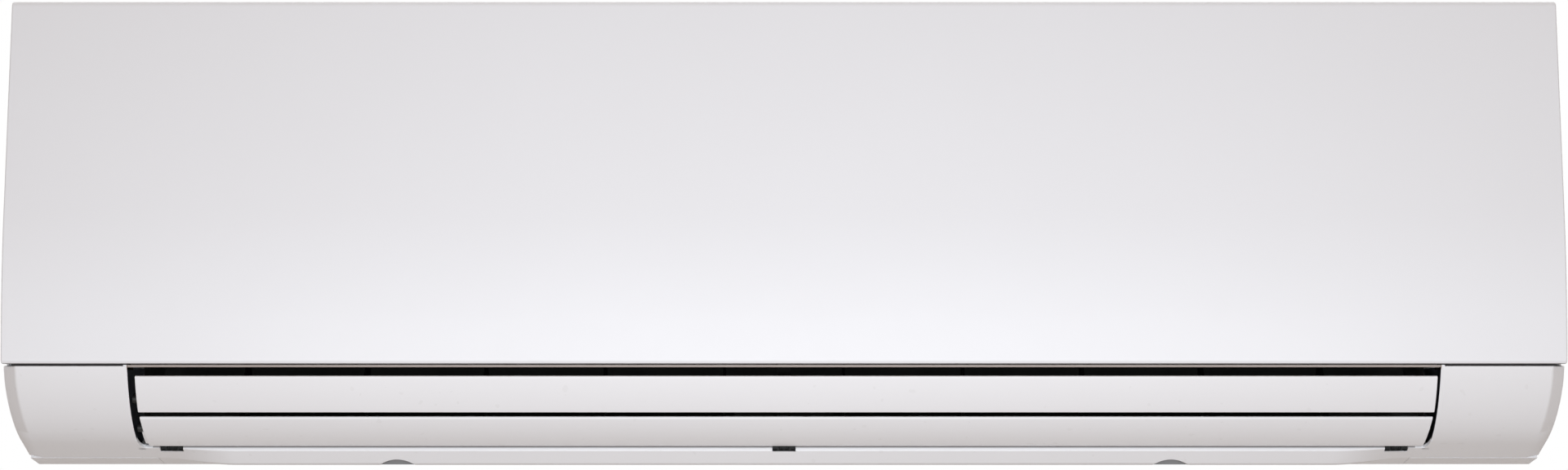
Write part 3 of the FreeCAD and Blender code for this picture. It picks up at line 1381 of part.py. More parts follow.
def make_water():
    lower = coil_banks["front_lower_coil"]
    upper = coil_banks["front_upper_coil"]
    plate_x = coil_left - s.coil_plate
    supply_top = lower[1] + lower[2] - s.tube_radius
    header = extrude("supply_tube", "plan", s.supply_height - s.pipe_radius, supply_top,
                     peg_ring((supply_x, front_coil_depth), s.header_radius, tube_sides))
    stations = 3
    supply_stubs = []
    return_stubs = []
    for index in range(stations):
        along = s.tube_pitch * (index + 1)
        supply_stubs.append(x_peg("supply_stub", supply_x, plate_x, on_bank(lower, along, size_of(0)),
                                  s.tube_radius, peg_sides))
        return_stubs.append(x_peg("return_stub", return_x, plate_x, on_bank(upper, along, size_of(0)),
                                  s.tube_radius, peg_sides))
    supply = fuse("supply_header", header, *supply_stubs)
    base = on_bank(upper, s.tube_pitch / 2, size_of(0))
    slanted = leaning_peg("return_tube", (return_x, *base), s.tube_pitch * 3, s.header_radius,
                          -s.upper_coil_lean, tube_sides)
    drop_top = base[1] - s.header_radius * 1.4
    elbow = extrude("return_elbow", "plan", drop_top, base[1] + s.header_radius / 2,
                    peg_ring((return_x, base[0]), s.header_radius, tube_sides))
    returned = fuse("return_header", slanted, elbow, *return_stubs)
    node("coil_tubes", group("tube_set", supply, returned, *make_bends()))
    reach = front_coil_depth - s.header_radius
    run = depth_peg("supply_run", supply_x, s.supply_height, s.pipe_end, reach, s.pipe_radius, tube_sides)
    node("supply_pipe", run)
    drop = extrude("return_drop", "plan", s.return_height - s.pipe_radius, drop_top,
                   peg_ring((return_x, base[0]), s.pipe_radius, tube_sides))
    back = depth_peg("return_run", return_x, s.return_height, s.pipe_end, base[0], s.pipe_radius,
                     tube_sides)
    node("return_pipe", fuse("return_pipe_joined", drop, back))
    unions = []
    for x, height in ((supply_x, s.supply_height), (return_x, s.return_height)):
        hexagon = [(x + s.union_hex * cos_of(60 * index), height + s.union_hex * sin_of(60 * index))
                   for index in range(6)]
        nut = extrude("union", "front", s.union_end, s.pipe_end, hexagon)
        thread = depth_rod("union_thread", x, height, s.union_end - s.wall, s.union_end + s.union_thread,
                           s.union_bore)
        unions.append(cut("union_cut", nut, thread))
    node("pipe_unions", group("union_pair", *unions))
    vent_base = on_bank(upper, s.tube_pitch * 3.5, size_of(0))
    body = leaning_peg("vent_body", (return_x, *vent_base), s.header_radius, s.pipe_radius * 0.7,
                       -s.upper_coil_lean, peg_sides)
    key = on_bank(upper, s.tube_pitch * 3.5 + s.header_radius, size_of(0))
    knob = leaning_peg("vent_key", (return_x, *key), s.pipe_radius, s.pipe_radius * 0.4,
                       -s.upper_coil_lean, peg_sides)
    node("air_vent", fuse("air_vent_joined", body, knob))
    probe_depth = front_coil_depth + s.header_radius + s.seat_gap + s.tube_radius
    node("water_sensor", leaning_peg("probe", (supply_x, probe_depth, s.supply_height + s.pipe_radius),
                                     s.tube_pitch, s.tube_radius, 0, peg_sides))


spigot_height = s.pan_rear_height + s.spigot_rise


def make_drain():
    thick = s.wall
    floor_front = pan_front - thick
    floor_rear = pan_rear + thick
    outside = [(pan_rear, s.pan_rim), (pan_rear, s.pan_rear_height), (pan_front, ceiling(pan_front)),
               (pan_front, s.pan_rim)]
    inside = [(floor_front, s.pan_rim), (floor_front, ceiling(floor_front) + thick),
              (floor_rear, ceiling(floor_rear) + thick), (floor_rear, s.pan_rim)]
    trough = extrude("pan_trough", "section", pan_left, pan_right, outside + inside)
    ends = [extrude("pan_end", "section", start, start + thick, outside)
            for start in (pan_left, pan_right - thick)]
    collar = depth_rod("spigot_collar", spigot_x, spigot_height, s.spigot_end, pan_rear + thick / 2,
                       s.spigot_collar_radius)
    tube = depth_rod("spigot_tube", spigot_x, spigot_height, s.union_end, s.spigot_end, s.spigot_radius)
    bore = depth_rod("spigot_hole", spigot_x, spigot_height, s.union_end - thick, floor_rear + thick,
                     s.spigot_bore)
    node("drain_pan", cut("pan_cut", fuse("pan_solid", trough, *ends, collar, tube), bore))


def make_controls():
    right = chassis_half - s.bulkhead - s.seat_gap
    wall = s.box_wall
    depths = (box_back, box_front)
    shell = cut("box_shell", box("box_outside", (box_left, right), depths, (s.box_low, s.box_high)),
                box("box_inside", (box_left + wall, right - wall), (box_back + wall, box_front + wall),
                    (s.box_low + wall, s.box_high - wall)))
    board_x = (box_left + wall + s.board_margin, right - wall - s.board_margin)
    board_h = (s.board_low, s.box_high - wall - s.board_margin)
    board_back = box_back + wall + s.board_standoff
    rails = [box("board_rail", board_x, (box_back + wall / 2, board_back),
                 (height, height + s.board_margin))
             for height in (board_h[0], board_h[1] - s.board_margin)]
    node("control_box", fuse("box_joined", shell, *rails))
    lid_lip = wall + s.seat_gap
    lid = fuse("lid_joined", box("lid", (box_left, right), (box_front, box_front + wall),
                                 (s.box_low, s.box_high)),
               box("lid_lip", (box_left + lid_lip, right - lid_lip), (box_front - wall, box_front),
                   (s.box_low + lid_lip, s.box_high - lid_lip)))
    node("control_box_cover", lid)
    board_front = board_back + s.board_wall
    node("control_board", box("board", board_x, (board_back, board_front), board_h))
    middle = (board_x[0] + board_x[1]) / 2
    transformer_top = board_h[1] - s.board_margin
    core = s.board_low / 4
    tall = box_front - wall * 2 - board_front
    parts = [box("transformer", (board_x[0] + s.board_margin, middle),
                 (board_front, board_front + tall), (transformer_top - core, transformer_top)),
             box("relay", (middle + s.board_margin, board_x[1] - s.board_margin),
                 (board_front, board_front + tall * 0.7), (transformer_top - core / 2, transformer_top)),
             depth_peg("capacitor", middle + core / 2, board_h[0] + core / 2, board_front,
                       board_front + tall * 0.9, core / 4, pin_sides),
             box("chip", (board_x[0] + s.board_margin * 2, middle), (board_front, board_front + wall),
                 (board_h[0] + s.board_margin, board_h[0] + core / 2))]
    node("board_components", group("component_set", *parts))
    terminal_top = s.board_low - s.board_margin * 2
    terminal_low = s.box_low + wall + s.board_margin
    terminal = box("terminal", board_x, (box_back + wall, box_back + wall + s.board_standoff * 2),
                   (terminal_low, terminal_top))
    ways = 6
    pitch = (board_x[1] - board_x[0]) / ways
    slots = []
    for index in range(ways):
        left = board_x[0] + pitch * index
        slots.append(box("terminal_slot", (left + wall / 2, left + pitch - wall / 2),
                         (box_back + wall + s.board_standoff, box_front),
                         (terminal_low + wall, terminal_top - wall)))
    node("terminal_block", cut("terminal_cut", terminal, *slots))
    clamp_low = s.box_low - s.board_standoff
    clamp = box("clamp_bar", (middle - core / 2, middle + core / 2),
                (box_back + s.board_margin, box_back + s.board_margin + core / 2), (clamp_low, s.box_low))
    channel = depth_hole("clamp_channel", middle, clamp_low, box_back, box_front, s.board_margin,
                         peg_sides)
    node("cable_clamp", cut("cable_clamp_cut", clamp, channel))
    face = s.body_depth - face_offset
    low = s.button_height - s.receiver_height / 2
    receiver = (receiver_left, receiver_left + s.receiver_width)
    plate = box("receiver_plate", receiver, (face, face + s.board_wall), (low, low + s.receiver_height))
    eye = extrude("receiver_eye", "front", face + s.board_wall / 2, face + s.board_wall * 4,
                  ring((receiver_left + s.receiver_width / 2, s.button_height), s.board_margin * 0.7, 10))
    node("receiver_board", fuse("receiver_joined", plate, eye))
    cap_back = face + s.button_travel + s.seat_gap
    button = (button_x, s.button_height)
    cap = extrude("button_cap", "front", cap_back, cap_back + s.button_cap,
                  ring(button, s.button_radius, 4))
    flange_front = face - s.wall - s.seat_gap
    stem = depth_peg("button_stem", *button, flange_front, cap_back, s.button_stem_radius, peg_sides)
    flange = extrude("button_flange", "front", flange_front - s.button_travel, flange_front,
                     ring(button, s.button_stem_radius * 1.3, 4))
    node("test_button", fuse("button_joined", cap, stem, flange))


def make_frame_screws():
    face = s.body_depth - face_offset
    screws = []
    for side, name in ((-1, "left"), (1, "right")):
        x = screw_boss_x * side
        head = depth_peg(f"screw_head_{name}", x, s.screw_boss_height, face, face + s.screw_head,
                         s.screw_head_radius, pin_sides)
        shank = depth_peg(f"screw_shank_{name}", x, s.screw_boss_height,
                          face - s.wall - s.screw_length + s.seat_gap * 2, face, s.screw_radius,
                          peg_sides)
        screws.append(fuse(f"screw_{name}", head, shank))
    node("frame_screws", group("screw_pair", *screws))


def make_wall_plate():
    half = plate_half
    thick = s.plate_wall
    outline = [(-half, s.plate_low), (half, s.plate_low), (half, plate_high), (-half, plate_high)]
    holes = []
    for side in (-1, 1):
        for level in (-1, 1):
            middle = ((half - s.plate_hole_inset) * side, s.screw_height + s.plate_holes_up / 2 * level)
            holes.append(Circle(middle, s.plate_hole_radius))
    for index in (-1, 0, 1):
        left = s.plate_cut_pitch * index - s.plate_cut_width / 2
        right = left + s.plate_cut_width
        low = s.screw_height - s.plate_cut_height / 2
        high = low + s.plate_cut_height
        holes.append([(left, low), (right, low), (right, high), (left, high)])
    solids = [extrude("plate_sheet", "front", size_of(0), thick, outline, *holes)]
    folds = ((s.plate_low, s.plate_low + thick), (plate_high - thick, plate_high))
    for low, high in folds:
        solids.append(box("plate_fold", (-half, half), (thick / 2, s.plate_fold), (low, high)))
    hook_front = s.chassis_back + s.wall + s.hook_play
    for side in (-1, 1):
        across = (hook_x * side - s.hook_width / 2, hook_x * side + s.hook_width / 2)
        solids.append(box("hook_leg", across, (thick / 2, hook_front + thick),
                          (hook_height, hook_height + thick)))
        solids.append(box("hook_tip", across, (hook_front, hook_front + thick),
                          (hook_height, hook_height + s.hook_rise)))
    node("wall_plate", fuse("plate_joined", *solids))


make_wall_plate()
make_rear_chassis()
make_front_frame()
make_top_grille()
make_filters()
make_front_panel()
make_louvers()
make_louver_motor()
make_louver_supports()
make_lip_clips()
make_vanes()
make_fan()
make_motor()
make_coil()
make_water()
make_drain()
make_controls()
make_frame_screws()

doc.recompute()
for item in doc.Objects:
    if "Invalid" in item.State or "Error" in item.State:
        raise RuntimeError(f"{item.Label} failed: {item.State}")
for item in nodes:
    if item.Shape.isNull() or not item.Shape.isValid() or not item.Shape.Solids:
        raise RuntimeError(f"{item.Label} has no valid shape")

os.makedirs("parts", exist_ok=True)
for item in nodes:
    item.Shape.exportStep(f"parts/{item.Label}.step")
print(len(nodes), "pieces written")
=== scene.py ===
import math
import bpy
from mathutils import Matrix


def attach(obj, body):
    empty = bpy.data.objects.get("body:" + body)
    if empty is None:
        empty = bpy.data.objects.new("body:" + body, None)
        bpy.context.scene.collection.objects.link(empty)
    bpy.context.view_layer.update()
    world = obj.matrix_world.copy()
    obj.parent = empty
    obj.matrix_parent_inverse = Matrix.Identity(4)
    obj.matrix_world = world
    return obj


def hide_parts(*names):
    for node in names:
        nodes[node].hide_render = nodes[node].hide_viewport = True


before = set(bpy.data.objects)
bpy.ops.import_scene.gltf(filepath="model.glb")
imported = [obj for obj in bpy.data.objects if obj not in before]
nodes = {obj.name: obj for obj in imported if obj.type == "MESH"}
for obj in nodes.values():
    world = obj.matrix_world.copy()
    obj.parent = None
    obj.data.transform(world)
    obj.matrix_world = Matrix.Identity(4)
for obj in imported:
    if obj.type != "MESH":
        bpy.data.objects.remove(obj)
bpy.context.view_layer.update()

print("frame loaded:", len(nodes), "nodes")

# Sections are drawn as (depth from the wall, height above the underside), in millimetres and degrees.
# An edge is the width of its rounding, the segments in it and the least angle of the edges that get it.
unit = {
    "halfWidth": 536.0,
    "top": 322.0,
    "front": 230.0,
    "screwHeight": 165.0,
    "wall": 2.5,
    "gap": 0.3,
    "bendLow": 100.0,
    "bendRadius": 430.0,
    "lean": 9.8,
    "hinge": (188.0, 312.0),
    "hingeDrop": 10.0,
    "panelGap": 0.6,
    "overcut": 10.0,  # how far a cutting tool stands out of the piece
}
drawing = {
    "seed": 0.001,  # this and the next two in metres
    "shortest": 1e-7,
    "merge": 0.000002,
    "sharp": 32.0,  # an edge that turns further stays sharp
}
bendCentre = (unit["front"] - unit["bendRadius"], unit["bendLow"])
hinge = unit["hinge"]


def metres(length):
    return length / 1000


def millimetres(length):
    return length * 1000


def level(height):
    return metres(height - unit["screwHeight"])


def spot(x, depth, height):
    return (metres(x), -metres(depth), level(height))


def sectionPlace(point):
    # depth and height of a point of a mesh
    return (-millimetres(point.co.y), millimetres(point.co.z) + unit["screwHeight"])


def shareOf(value, start, end):
    # 0 at start and before it, 1 at end and beyond
    return min(max((value - start) / (end - start), 0), 1)


def between(start, end, share):
    return tuple(a + (b - a) * share for a, b in zip(start, end))


def sided(side, near, far):
    return (near, far) if side > 0 else (-far, -near)


def around(centre, radius, angle):
    # angle 0 points to the room and 90 points up
    turn = math.radians(angle)
    return (centre[0] + radius * math.cos(turn), centre[1] + radius * math.sin(turn))


def arc(centre, radius, start, end, steps):
    return [around(centre, radius, start + (end - start) * i / steps) for i in range(steps + 1)]


def arcBetween(start, end, radius, steps):
    # the shorter arc that turns clockwise from start to end
    middle = ((start[0] + end[0]) / 2, (start[1] + end[1]) / 2)
    run = (end[0] - start[0], end[1] - start[1])
    chord = math.hypot(*run)
    reach = math.sqrt(max(radius * radius - chord * chord / 4, 0.0))
    centre = (middle[0] + run[1] / chord * reach, middle[1] - run[0] / chord * reach)
    first = math.degrees(math.atan2(start[1] - centre[1], start[0] - centre[0]))
    last = math.degrees(math.atan2(end[1] - centre[1], end[0] - centre[0]))
    if last > first:
        last -= 360
    return arc(centre, radius, first, last, steps)


def bendTop(offset):
    return around(bendCentre, unit["bendRadius"] - offset, unit["lean"])


def frontAt(offset, height):
    # depth of the leaning front at a height
    bend = bendTop(offset)
    return bend[0] - (height - bend[1]) * math.tan(math.radians(unit["lean"]))


def bendArc(offset, downwards, steps):
    start, end = (unit["lean"], 0) if downwards else (0, unit["lean"])
    return arc(bendCentre, unit["bendRadius"] - offset, start, end, steps)


def frontStrip(near, far, low, high, steps):
    # follows the upright foot, the bend and the lean of the front, between two offsets
    return [(unit["front"] - near, low), *bendArc(near, False, steps), (frontAt(near, high), high),
            (frontAt(far, high), high), *bendArc(far, True, steps), (unit["front"] - far, low)]


def deselect():
    if bpy.context.object and bpy.context.object.mode != "OBJECT":
        bpy.ops.object.mode_set(mode="OBJECT")
    bpy.ops.object.select_all(action="DESELECT")


def choose(piece):
    deselect()
    piece.select_set(True)
    bpy.context.view_layer.objects.active = piece


def trace(name, x, outline):
    # one point, drawn on round the outline and filled
    deselect()
    bpy.ops.mesh.primitive_plane_add(size=drawing["seed"])
    piece = bpy.context.object
    piece.name = name
    bpy.ops.object.mode_set(mode="EDIT")
    bpy.ops.mesh.select_all(action="SELECT")
    bpy.ops.mesh.merge(type="CENTER")
    bpy.ops.transform.translate(value=spot(x, *outline[0]))
    for here, there in zip(outline, [*outline[1:], outline[0]]):
        step = (0, metres(here[0] - there[0]), metres(there[1] - here[1]))
        if abs(step[1]) + abs(step[2]) > drawing["shortest"]:
            bpy.ops.mesh.extrude_region_move(TRANSFORM_OT_translate={"value": step})
    bpy.ops.mesh.select_all(action="SELECT")
    bpy.ops.mesh.remove_doubles(threshold=drawing["merge"])
    bpy.ops.mesh.edge_face_add()
    return piece


def pull(distance):
    bpy.ops.mesh.extrude_region_move(TRANSFORM_OT_translate={"value": (metres(distance), 0, 0)})


def closeUp():
    bpy.ops.mesh.select_all(action="SELECT")
    bpy.ops.mesh.normals_make_consistent(inside=False)
    bpy.ops.object.mode_set(mode="OBJECT")


def bar(name, low, high, outline):
    # a section pulled along the width of the unit
    piece = trace(name, low, outline)
    pull(high - low)
    closeUp()
    return piece


def loft(name, stations):
    # one section drawn on from place to place along the width, reshaped at each
    x, outline = stations[0]
    piece = trace(name, x, outline)
    for there, shape in stations[1:]:
        pull(there - x)
        bpy.ops.object.mode_set(mode="OBJECT")
        for point in piece.data.vertices:
            if point.select:
                here = sectionPlace(point)
                match = min(range(len(outline)), key=lambda i: math.dist(outline[i], here))
                point.co = spot(there, *shape[match])
        bpy.ops.object.mode_set(mode="EDIT")
        x, outline = there, shape
    closeUp()
    return piece


def block(name, xs, depths, heights):
    (x0, x1), (d0, d1), (h0, h1) = xs, depths, heights
    return bar(name, x0, x1, [(d0, h0), (d1, h0), (d1, h1), (d0, h1)])


def roundBar(name, low, high, centre, radius, sides=32):
    return bar(name, low, high, arc(centre, radius, 0, 360 - 360 / sides, sides - 1))


def depthBar(name, x, height, depths, radius, sides=32):
    # a round bar that runs from the wall towards the room
    low, high = depths
    deselect()
    bpy.ops.mesh.primitive_cylinder_add(vertices=sides, radius=metres(radius), depth=metres(high - low),
                                        location=spot(x, (low + high) / 2, height),
                                        rotation=(math.pi / 2, 0, 0))
    piece = bpy.context.object
    piece.name = name
    bpy.ops.object.transform_apply(location=True, rotation=True, scale=True)
    return piece


def cutAway(piece, *tools):
    for tool in tools:
        choose(piece)
        cutter = piece.modifiers.new("cut", "BOOLEAN")
        cutter.operation = "DIFFERENCE"
        cutter.solver = "EXACT"
        cutter.object = tool
        bpy.ops.object.modifier_apply(modifier=cutter.name)
        bpy.data.objects.remove(tool)
    return piece


def softenEdges(piece, edge):
    width, segments, angle = edge
    choose(piece)
    rounding = piece.modifiers.new("edge", "BEVEL")
    rounding.width = metres(width)
    rounding.segments = segments
    rounding.limit_method = "ANGLE"
    rounding.angle_limit = math.radians(angle)
    rounding.use_clamp_overlap = True
    rounding.miter_outer = "MITER_ARC"
    bpy.ops.object.modifier_apply(modifier=rounding.name)
    return piece


def joinUp(name, pieces):
    choose(pieces[0])
    for other in pieces[1:]:
        other.select_set(True)
    bpy.ops.object.join()
    bpy.context.object.name = name
    return bpy.context.object


def spread(piece, places):
    # copies with their own meshes, moved across the unit; the first one goes
    twins = []
    for x in places:
        twin = piece.copy()
        twin.data = piece.data.copy()
        bpy.context.collection.objects.link(twin)
        twin.location.x = metres(x)
        choose(twin)
        bpy.ops.object.transform_apply(location=True, rotation=False, scale=False)
        twins.append(twin)
    bpy.data.objects.remove(piece)
    return twins


def dress(piece, finish):
    piece.data.materials.clear()
    piece.data.materials.append(finish.mat)


def finishPiece(piece, body, slot, finish, *replaced):
    choose(piece)
    bpy.ops.object.shade_smooth_by_angle(angle=math.radians(drawing["sharp"]))
    even = piece.modifiers.new("even", "WEIGHTED_NORMAL")  # flat faces stay flat up to their rounded edges
    even.keep_sharp = True
    bpy.ops.object.modifier_apply(modifier=even.name)
    dress(piece, finish)
    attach(piece, body)
    if replaced:
        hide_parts(*replaced)


# Shader sockets with plain arithmetic
class Value:
    def __init__(self, nodeTree, socket):
        self.nodeTree = nodeTree
        self.socket = socket

    def __add__(self, other):
        return self.nodeTree.maths("ADD", self, other)

    def __radd__(self, other):
        return self.nodeTree.maths("ADD", other, self)

    def __sub__(self, other):
        return self.nodeTree.maths("SUBTRACT", self, other)

    def __rsub__(self, other):
        return self.nodeTree.maths("SUBTRACT", other, self)

    def __mul__(self, other):
        return self.nodeTree.maths("MULTIPLY", self, other)

    def __rmul__(self, other):
        return self.nodeTree.maths("MULTIPLY", other, self)

    def __gt__(self, other):
        return self.nodeTree.maths("GREATER_THAN", self, other)

    def __lt__(self, other):
        return self.nodeTree.maths("LESS_THAN", self, other)


class NodeTree:
    def __init__(self, tree):
        self.tree = tree
        tree.nodes.clear()

    def put(self, socket, value):
        if isinstance(value, Value):
            self.tree.links.new(value.socket, socket)
        else:
            socket.default_value = value

    def node(self, kind, settings=None, inputs=None, output=0):
        made = self.tree.nodes.new(kind)
        for key, value in (settings or {}).items():
            setattr(made, key, value)
        for key, value in (inputs or {}).items():
            self.put(made.inputs[key], value)
        return Value(self, made.outputs[output]) if made.outputs else None

    def maths(self, operation, a, b):
        return self.node("ShaderNodeMath", {"operation": operation}, {0: a, 1: b})

    def mix(self, factor, a, b):
        colours = {0: factor, 6: tone(a), 7: tone(b)}  # the node's own sockets for colours
        return self.node("ShaderNodeMix", {"data_type": "RGBA"}, colours, output=2)

    def inView(self):
        # 1 where the camera sees it, also in a mirror or through glass
        seen = self.node("ShaderNodeLightPath", output="Is Camera Ray")
        for ray in ("Is Glossy Ray", "Is Transmission Ray"):
            seen = self.maths("MAXIMUM", seen, self.node("ShaderNodeLightPath", output=ray))
        return seen


class Finish(NodeTree):
    def __init__(self, name):
        self.mat = bpy.data.materials.new(name)
        self.mat.use_nodes = True
        super().__init__(self.mat.node_tree)
        surface = self.node("ShaderNodeBsdfPrincipled")
        self.node("ShaderNodeOutputMaterial", None, {0: surface})
        self.shader = surface.socket.node
        self.place = self.node("ShaderNodeTexCoord", output="Object")

    def axis(self, letter):
        return self.node("ShaderNodeSeparateXYZ", None, {0: self.place}, output=letter)

    def within(self, letter, low, high):
        # 1 between two places along an axis of the object, in metres
        along = self.axis(letter)
        return (along > low) * (along < high)

    def inBox(self, half, depths, heights):
        # 1 in a box about the middle of the unit
        (back, front), (low, high) = depths, heights
        across = self.within("X", -metres(half), metres(half))
        deep = self.within("Y", -metres(front), -metres(back))
        return across * deep * self.within("Z", level(low), level(high))

    def noise(self, scale, detail=2.0, roughness=0.5):
        return self.node("ShaderNodeTexNoise", None,
                         {"Vector": self.place, "Scale": scale, "Detail": detail, "Roughness": roughness})

    def bands(self, letter, scale):
        # soft stripes along an axis of the object
        return self.node("ShaderNodeTexWave",
                         {"wave_type": "BANDS", "bands_direction": letter, "wave_profile": "SIN"},
                         {"Vector": self.place, "Scale": scale, "Distortion": 0.0})

    def bump(self, height, strength, distance):
        normal = self.node("ShaderNodeBump", None,
                           {"Height": height, "Strength": strength, "Distance": distance})
        self.put(self.shader.inputs["Normal"], normal)

    def set(self, **values):
        for key, value in values.items():
            self.put(self.shader.inputs[key.replace("_", " ")], value)

    def tint(self, mask, colour):
        # another colour laid over the finish where the mask is 1
        self.colour = self.mix(mask, self.colour, colour)
        self.set(Base_Color=self.colour)


def tone(colour):
    # a plain colour gets its alpha
    return colour if isinstance(colour, Value) else (*colour, 1.0)


def swing(amount, value):
    # as far below nought as above it, for a value from 0 to 1
    return amount * (value - 0.5)


# Moulded plastic: faint flow marks in its colour, a fine grain and an uneven sheen
moulding = {
    "flow": 9.0,
    "flowDetail": 3.0,
    "sheen": 60.0,
    "sheenDetail": 3.0,
    "grainDetail": 2.0,
    "grainRough": 0.6,
    "grainStrength": 0.25,
    "coatRough": 0.12,
}


def mouldedPlastic(name, light, dark, rough, uneven, grain, relief, coat=0.0, gloss=0.5):
    made = Finish(name)
    made.colour = made.mix(made.noise(moulding["flow"], moulding["flowDetail"]), dark, light)
    made.rough = rough + swing(uneven, made.noise(moulding["sheen"], moulding["sheenDetail"]))
    made.set(Base_Color=made.colour, Roughness=made.rough, Specular_IOR_Level=gloss)
    made.set(Coat_Weight=coat, Coat_Roughness=moulding["coatRough"])
    fine = made.noise(grain, moulding["grainDetail"], moulding["grainRough"])
    made.bump(fine, moulding["grainStrength"], relief)
    return made


shell = {
    "light": (0.84, 0.848, 0.875),
    "dark": (0.82, 0.826, 0.85),
    "rough": 0.46,
    "uneven": 0.08,
    "grain": 1600.0,
    "relief": 0.00005,
}
casingWhite = mouldedPlastic("casingWhite", **shell)
panelWhite = mouldedPlastic("panelWhite", (0.86, 0.876, 0.914), (0.845, 0.859, 0.894),
                            rough=0.5, uneven=0.06, grain=420.0, relief=0.00004, coat=0.05)
louverWhite = mouldedPlastic("louverWhite", (0.86, 0.868, 0.895), (0.845, 0.85, 0.876),
                             rough=0.4, uneven=0.08, grain=900.0, relief=0.00004)
ductBlack = mouldedPlastic("ductBlack", (0.055, 0.055, 0.051), (0.042, 0.042, 0.039),
                           rough=0.55, uneven=0.12, grain=1200.0, relief=0.00006, gloss=0.15)
fanGrey = mouldedPlastic("fanGrey", (0.035, 0.037, 0.04), (0.024, 0.026, 0.028),
                         rough=0.5, uneven=0.12, grain=900.0, relief=0.00005, gloss=0.15)
clipDark = mouldedPlastic("clipDark", (0.011, 0.011, 0.0105), (0.007, 0.007, 0.0065),
                          rough=0.5, uneven=0.1, grain=1500.0, relief=0.00004, gloss=0.15)
hangerBlack = mouldedPlastic("hangerBlack", (0.0065, 0.0065, 0.006), (0.0045, 0.0045, 0.004),
                             rough=0.65, uneven=0.1, grain=1500.0, relief=0.00004, gloss=0.02)
boxIvory = mouldedPlastic("boxIvory", (0.62, 0.6, 0.54), (0.58, 0.56, 0.5),
                          rough=0.5, uneven=0.08, grain=1300.0, relief=0.00005)
partsBlack = mouldedPlastic("partsBlack", (0.012, 0.012, 0.013), (0.008, 0.008, 0.009),
                            rough=0.4, uneven=0.1, grain=1500.0, relief=0.00003)
terminalGrey = mouldedPlastic("terminalGrey", (0.3, 0.3, 0.28), (0.26, 0.26, 0.245),
                              rough=0.45, uneven=0.1, grain=1300.0, relief=0.00004)
rubberBlack = mouldedPlastic("rubberBlack", (0.016, 0.016, 0.016), (0.01, 0.01, 0.01),
                             rough=0.8, uneven=0.1, grain=2200.0, relief=0.00008)
motorSteel = mouldedPlastic("motorSteel", (0.2, 0.205, 0.21), (0.17, 0.175, 0.18),
                            rough=0.38, uneven=0.1, grain=700.0, relief=0.00004, coat=0.2)
filterFrame = mouldedPlastic("filterFrame", (0.07, 0.08, 0.09), (0.05, 0.058, 0.066),
                             rough=0.5, uneven=0.1, grain=900.0, relief=0.00005)

# Painted shade darkens the seam over the cheeks, the panel's lower edge, the rail in the outlet under the
# panel's overhang, the finger recesses and the line behind the lip, a painted shadow under the lower louver's
# edge; the louvers' axles beside the blades are painted dark as the shade in the gaps there, and the specks
# are dust. A box is (half width, depths, heights).
shadeAndDust = {
    "seam": {"box": (533.0, (150.0, 226.0), (68.4, 72.5)), "share": 0.9, "tint": (0.06, 0.05, 0.044)},
    "rail": {"box": (450.4, (200.0, 230.0), (66.0, 72.5)), "share": 1.0, "tint": (0.5, 0.445, 0.415)},
    "lip": {"box": (441.0, (150.0, 172.0), (11.7, 66.0)), "share": 0.8, "tint": (0.12, 0.1, 0.09)},
    "recess": {"box": (294.0, (0.0, 159.2), (0.1, 3.95)), "share": 0.9, "tint": (0.07, 0.063, 0.058)},
    "lipFade": 1.2,
    "recessInner": 248.0,
    "panelEdge": 70.3,
    "panelShadeShare": 0.85,
    "louverEnds": (-445.3, 448.3),
    "axleShade": (0.03, 0.03, 0.028),
    "speckScale": 170.0,
    "speckLeast": 0.8,
    "speckShare": 0.07,
    "speckTint": (0.42, 0.4, 0.38),
}


def paintShadeOnCasing():
    # painted shade in the seam, on the rail under the panel and in the finger recesses, and a painted shadow
    # behind the lip under the lower louver
    made = casingWhite
    shadeMasks = {name: made.inBox(*shadeAndDust[name]["box"]) for name in ("seam", "rail", "lip", "recess")}
    foot = shadeAndDust["lip"]["box"][2][0]
    # the painted shadow behind the lip fades out over its lowest 1.2 mm
    rise = (made.axis("Z") - level(foot)) * (1 / metres(shadeAndDust["lipFade"]))
    shadeMasks["lip"] *= made.node("ShaderNodeClamp", None, {0: rise})
    shadeMasks["recess"] -= made.inBox(shadeAndDust["recessInner"], *shadeAndDust["recess"]["box"][1:])
    for name, mask in shadeMasks.items():
        made.tint(mask * shadeAndDust[name]["share"], shadeAndDust[name]["tint"])


def paintShadeOnPanel():
    # painted shade along the panel's lower edge, as dark as the seam under it
    low = panelWhite.axis("Z") < level(shadeAndDust["panelEdge"])
    panelWhite.tint(low * shadeAndDust["panelShadeShare"], shadeAndDust["seam"]["tint"])


def paintShadeOnLouverAxles():
    # painted shade: the axles and crank beyond the blade's ends are dark like the shade in the outlet's side
    # gaps
    left, right = shadeAndDust["louverEnds"]
    louverWhite.tint(1 - louverWhite.within("X", metres(left), metres(right)), shadeAndDust["axleShade"])


paintShadeOnCasing()
paintShadeOnPanel()
paintShadeOnLouverAxles()
for pale in (casingWhite, louverWhite):
    specks = pale.noise(shadeAndDust["speckScale"], 0.0) > shadeAndDust["speckLeast"]
    pale.tint(specks * shadeAndDust["speckShare"], shadeAndDust["speckTint"])

# Coated sheet: a crystal spangle in tone and in sheen
zinc = {
    "light": (0.62, 0.63, 0.65),
    "dark": (0.5, 0.51, 0.53),
    "rough": 0.4,
    "spangle": 130.0,
    "spangleShare": 0.6,
    "spangleUneven": 0.12,
    "cloud": 25.0,
    "cloudDetail": 4.0,
    "cloudUneven": 0.1,
    "grain": 400.0,
    "strength": 0.08,
    "relief": 0.0001,
}


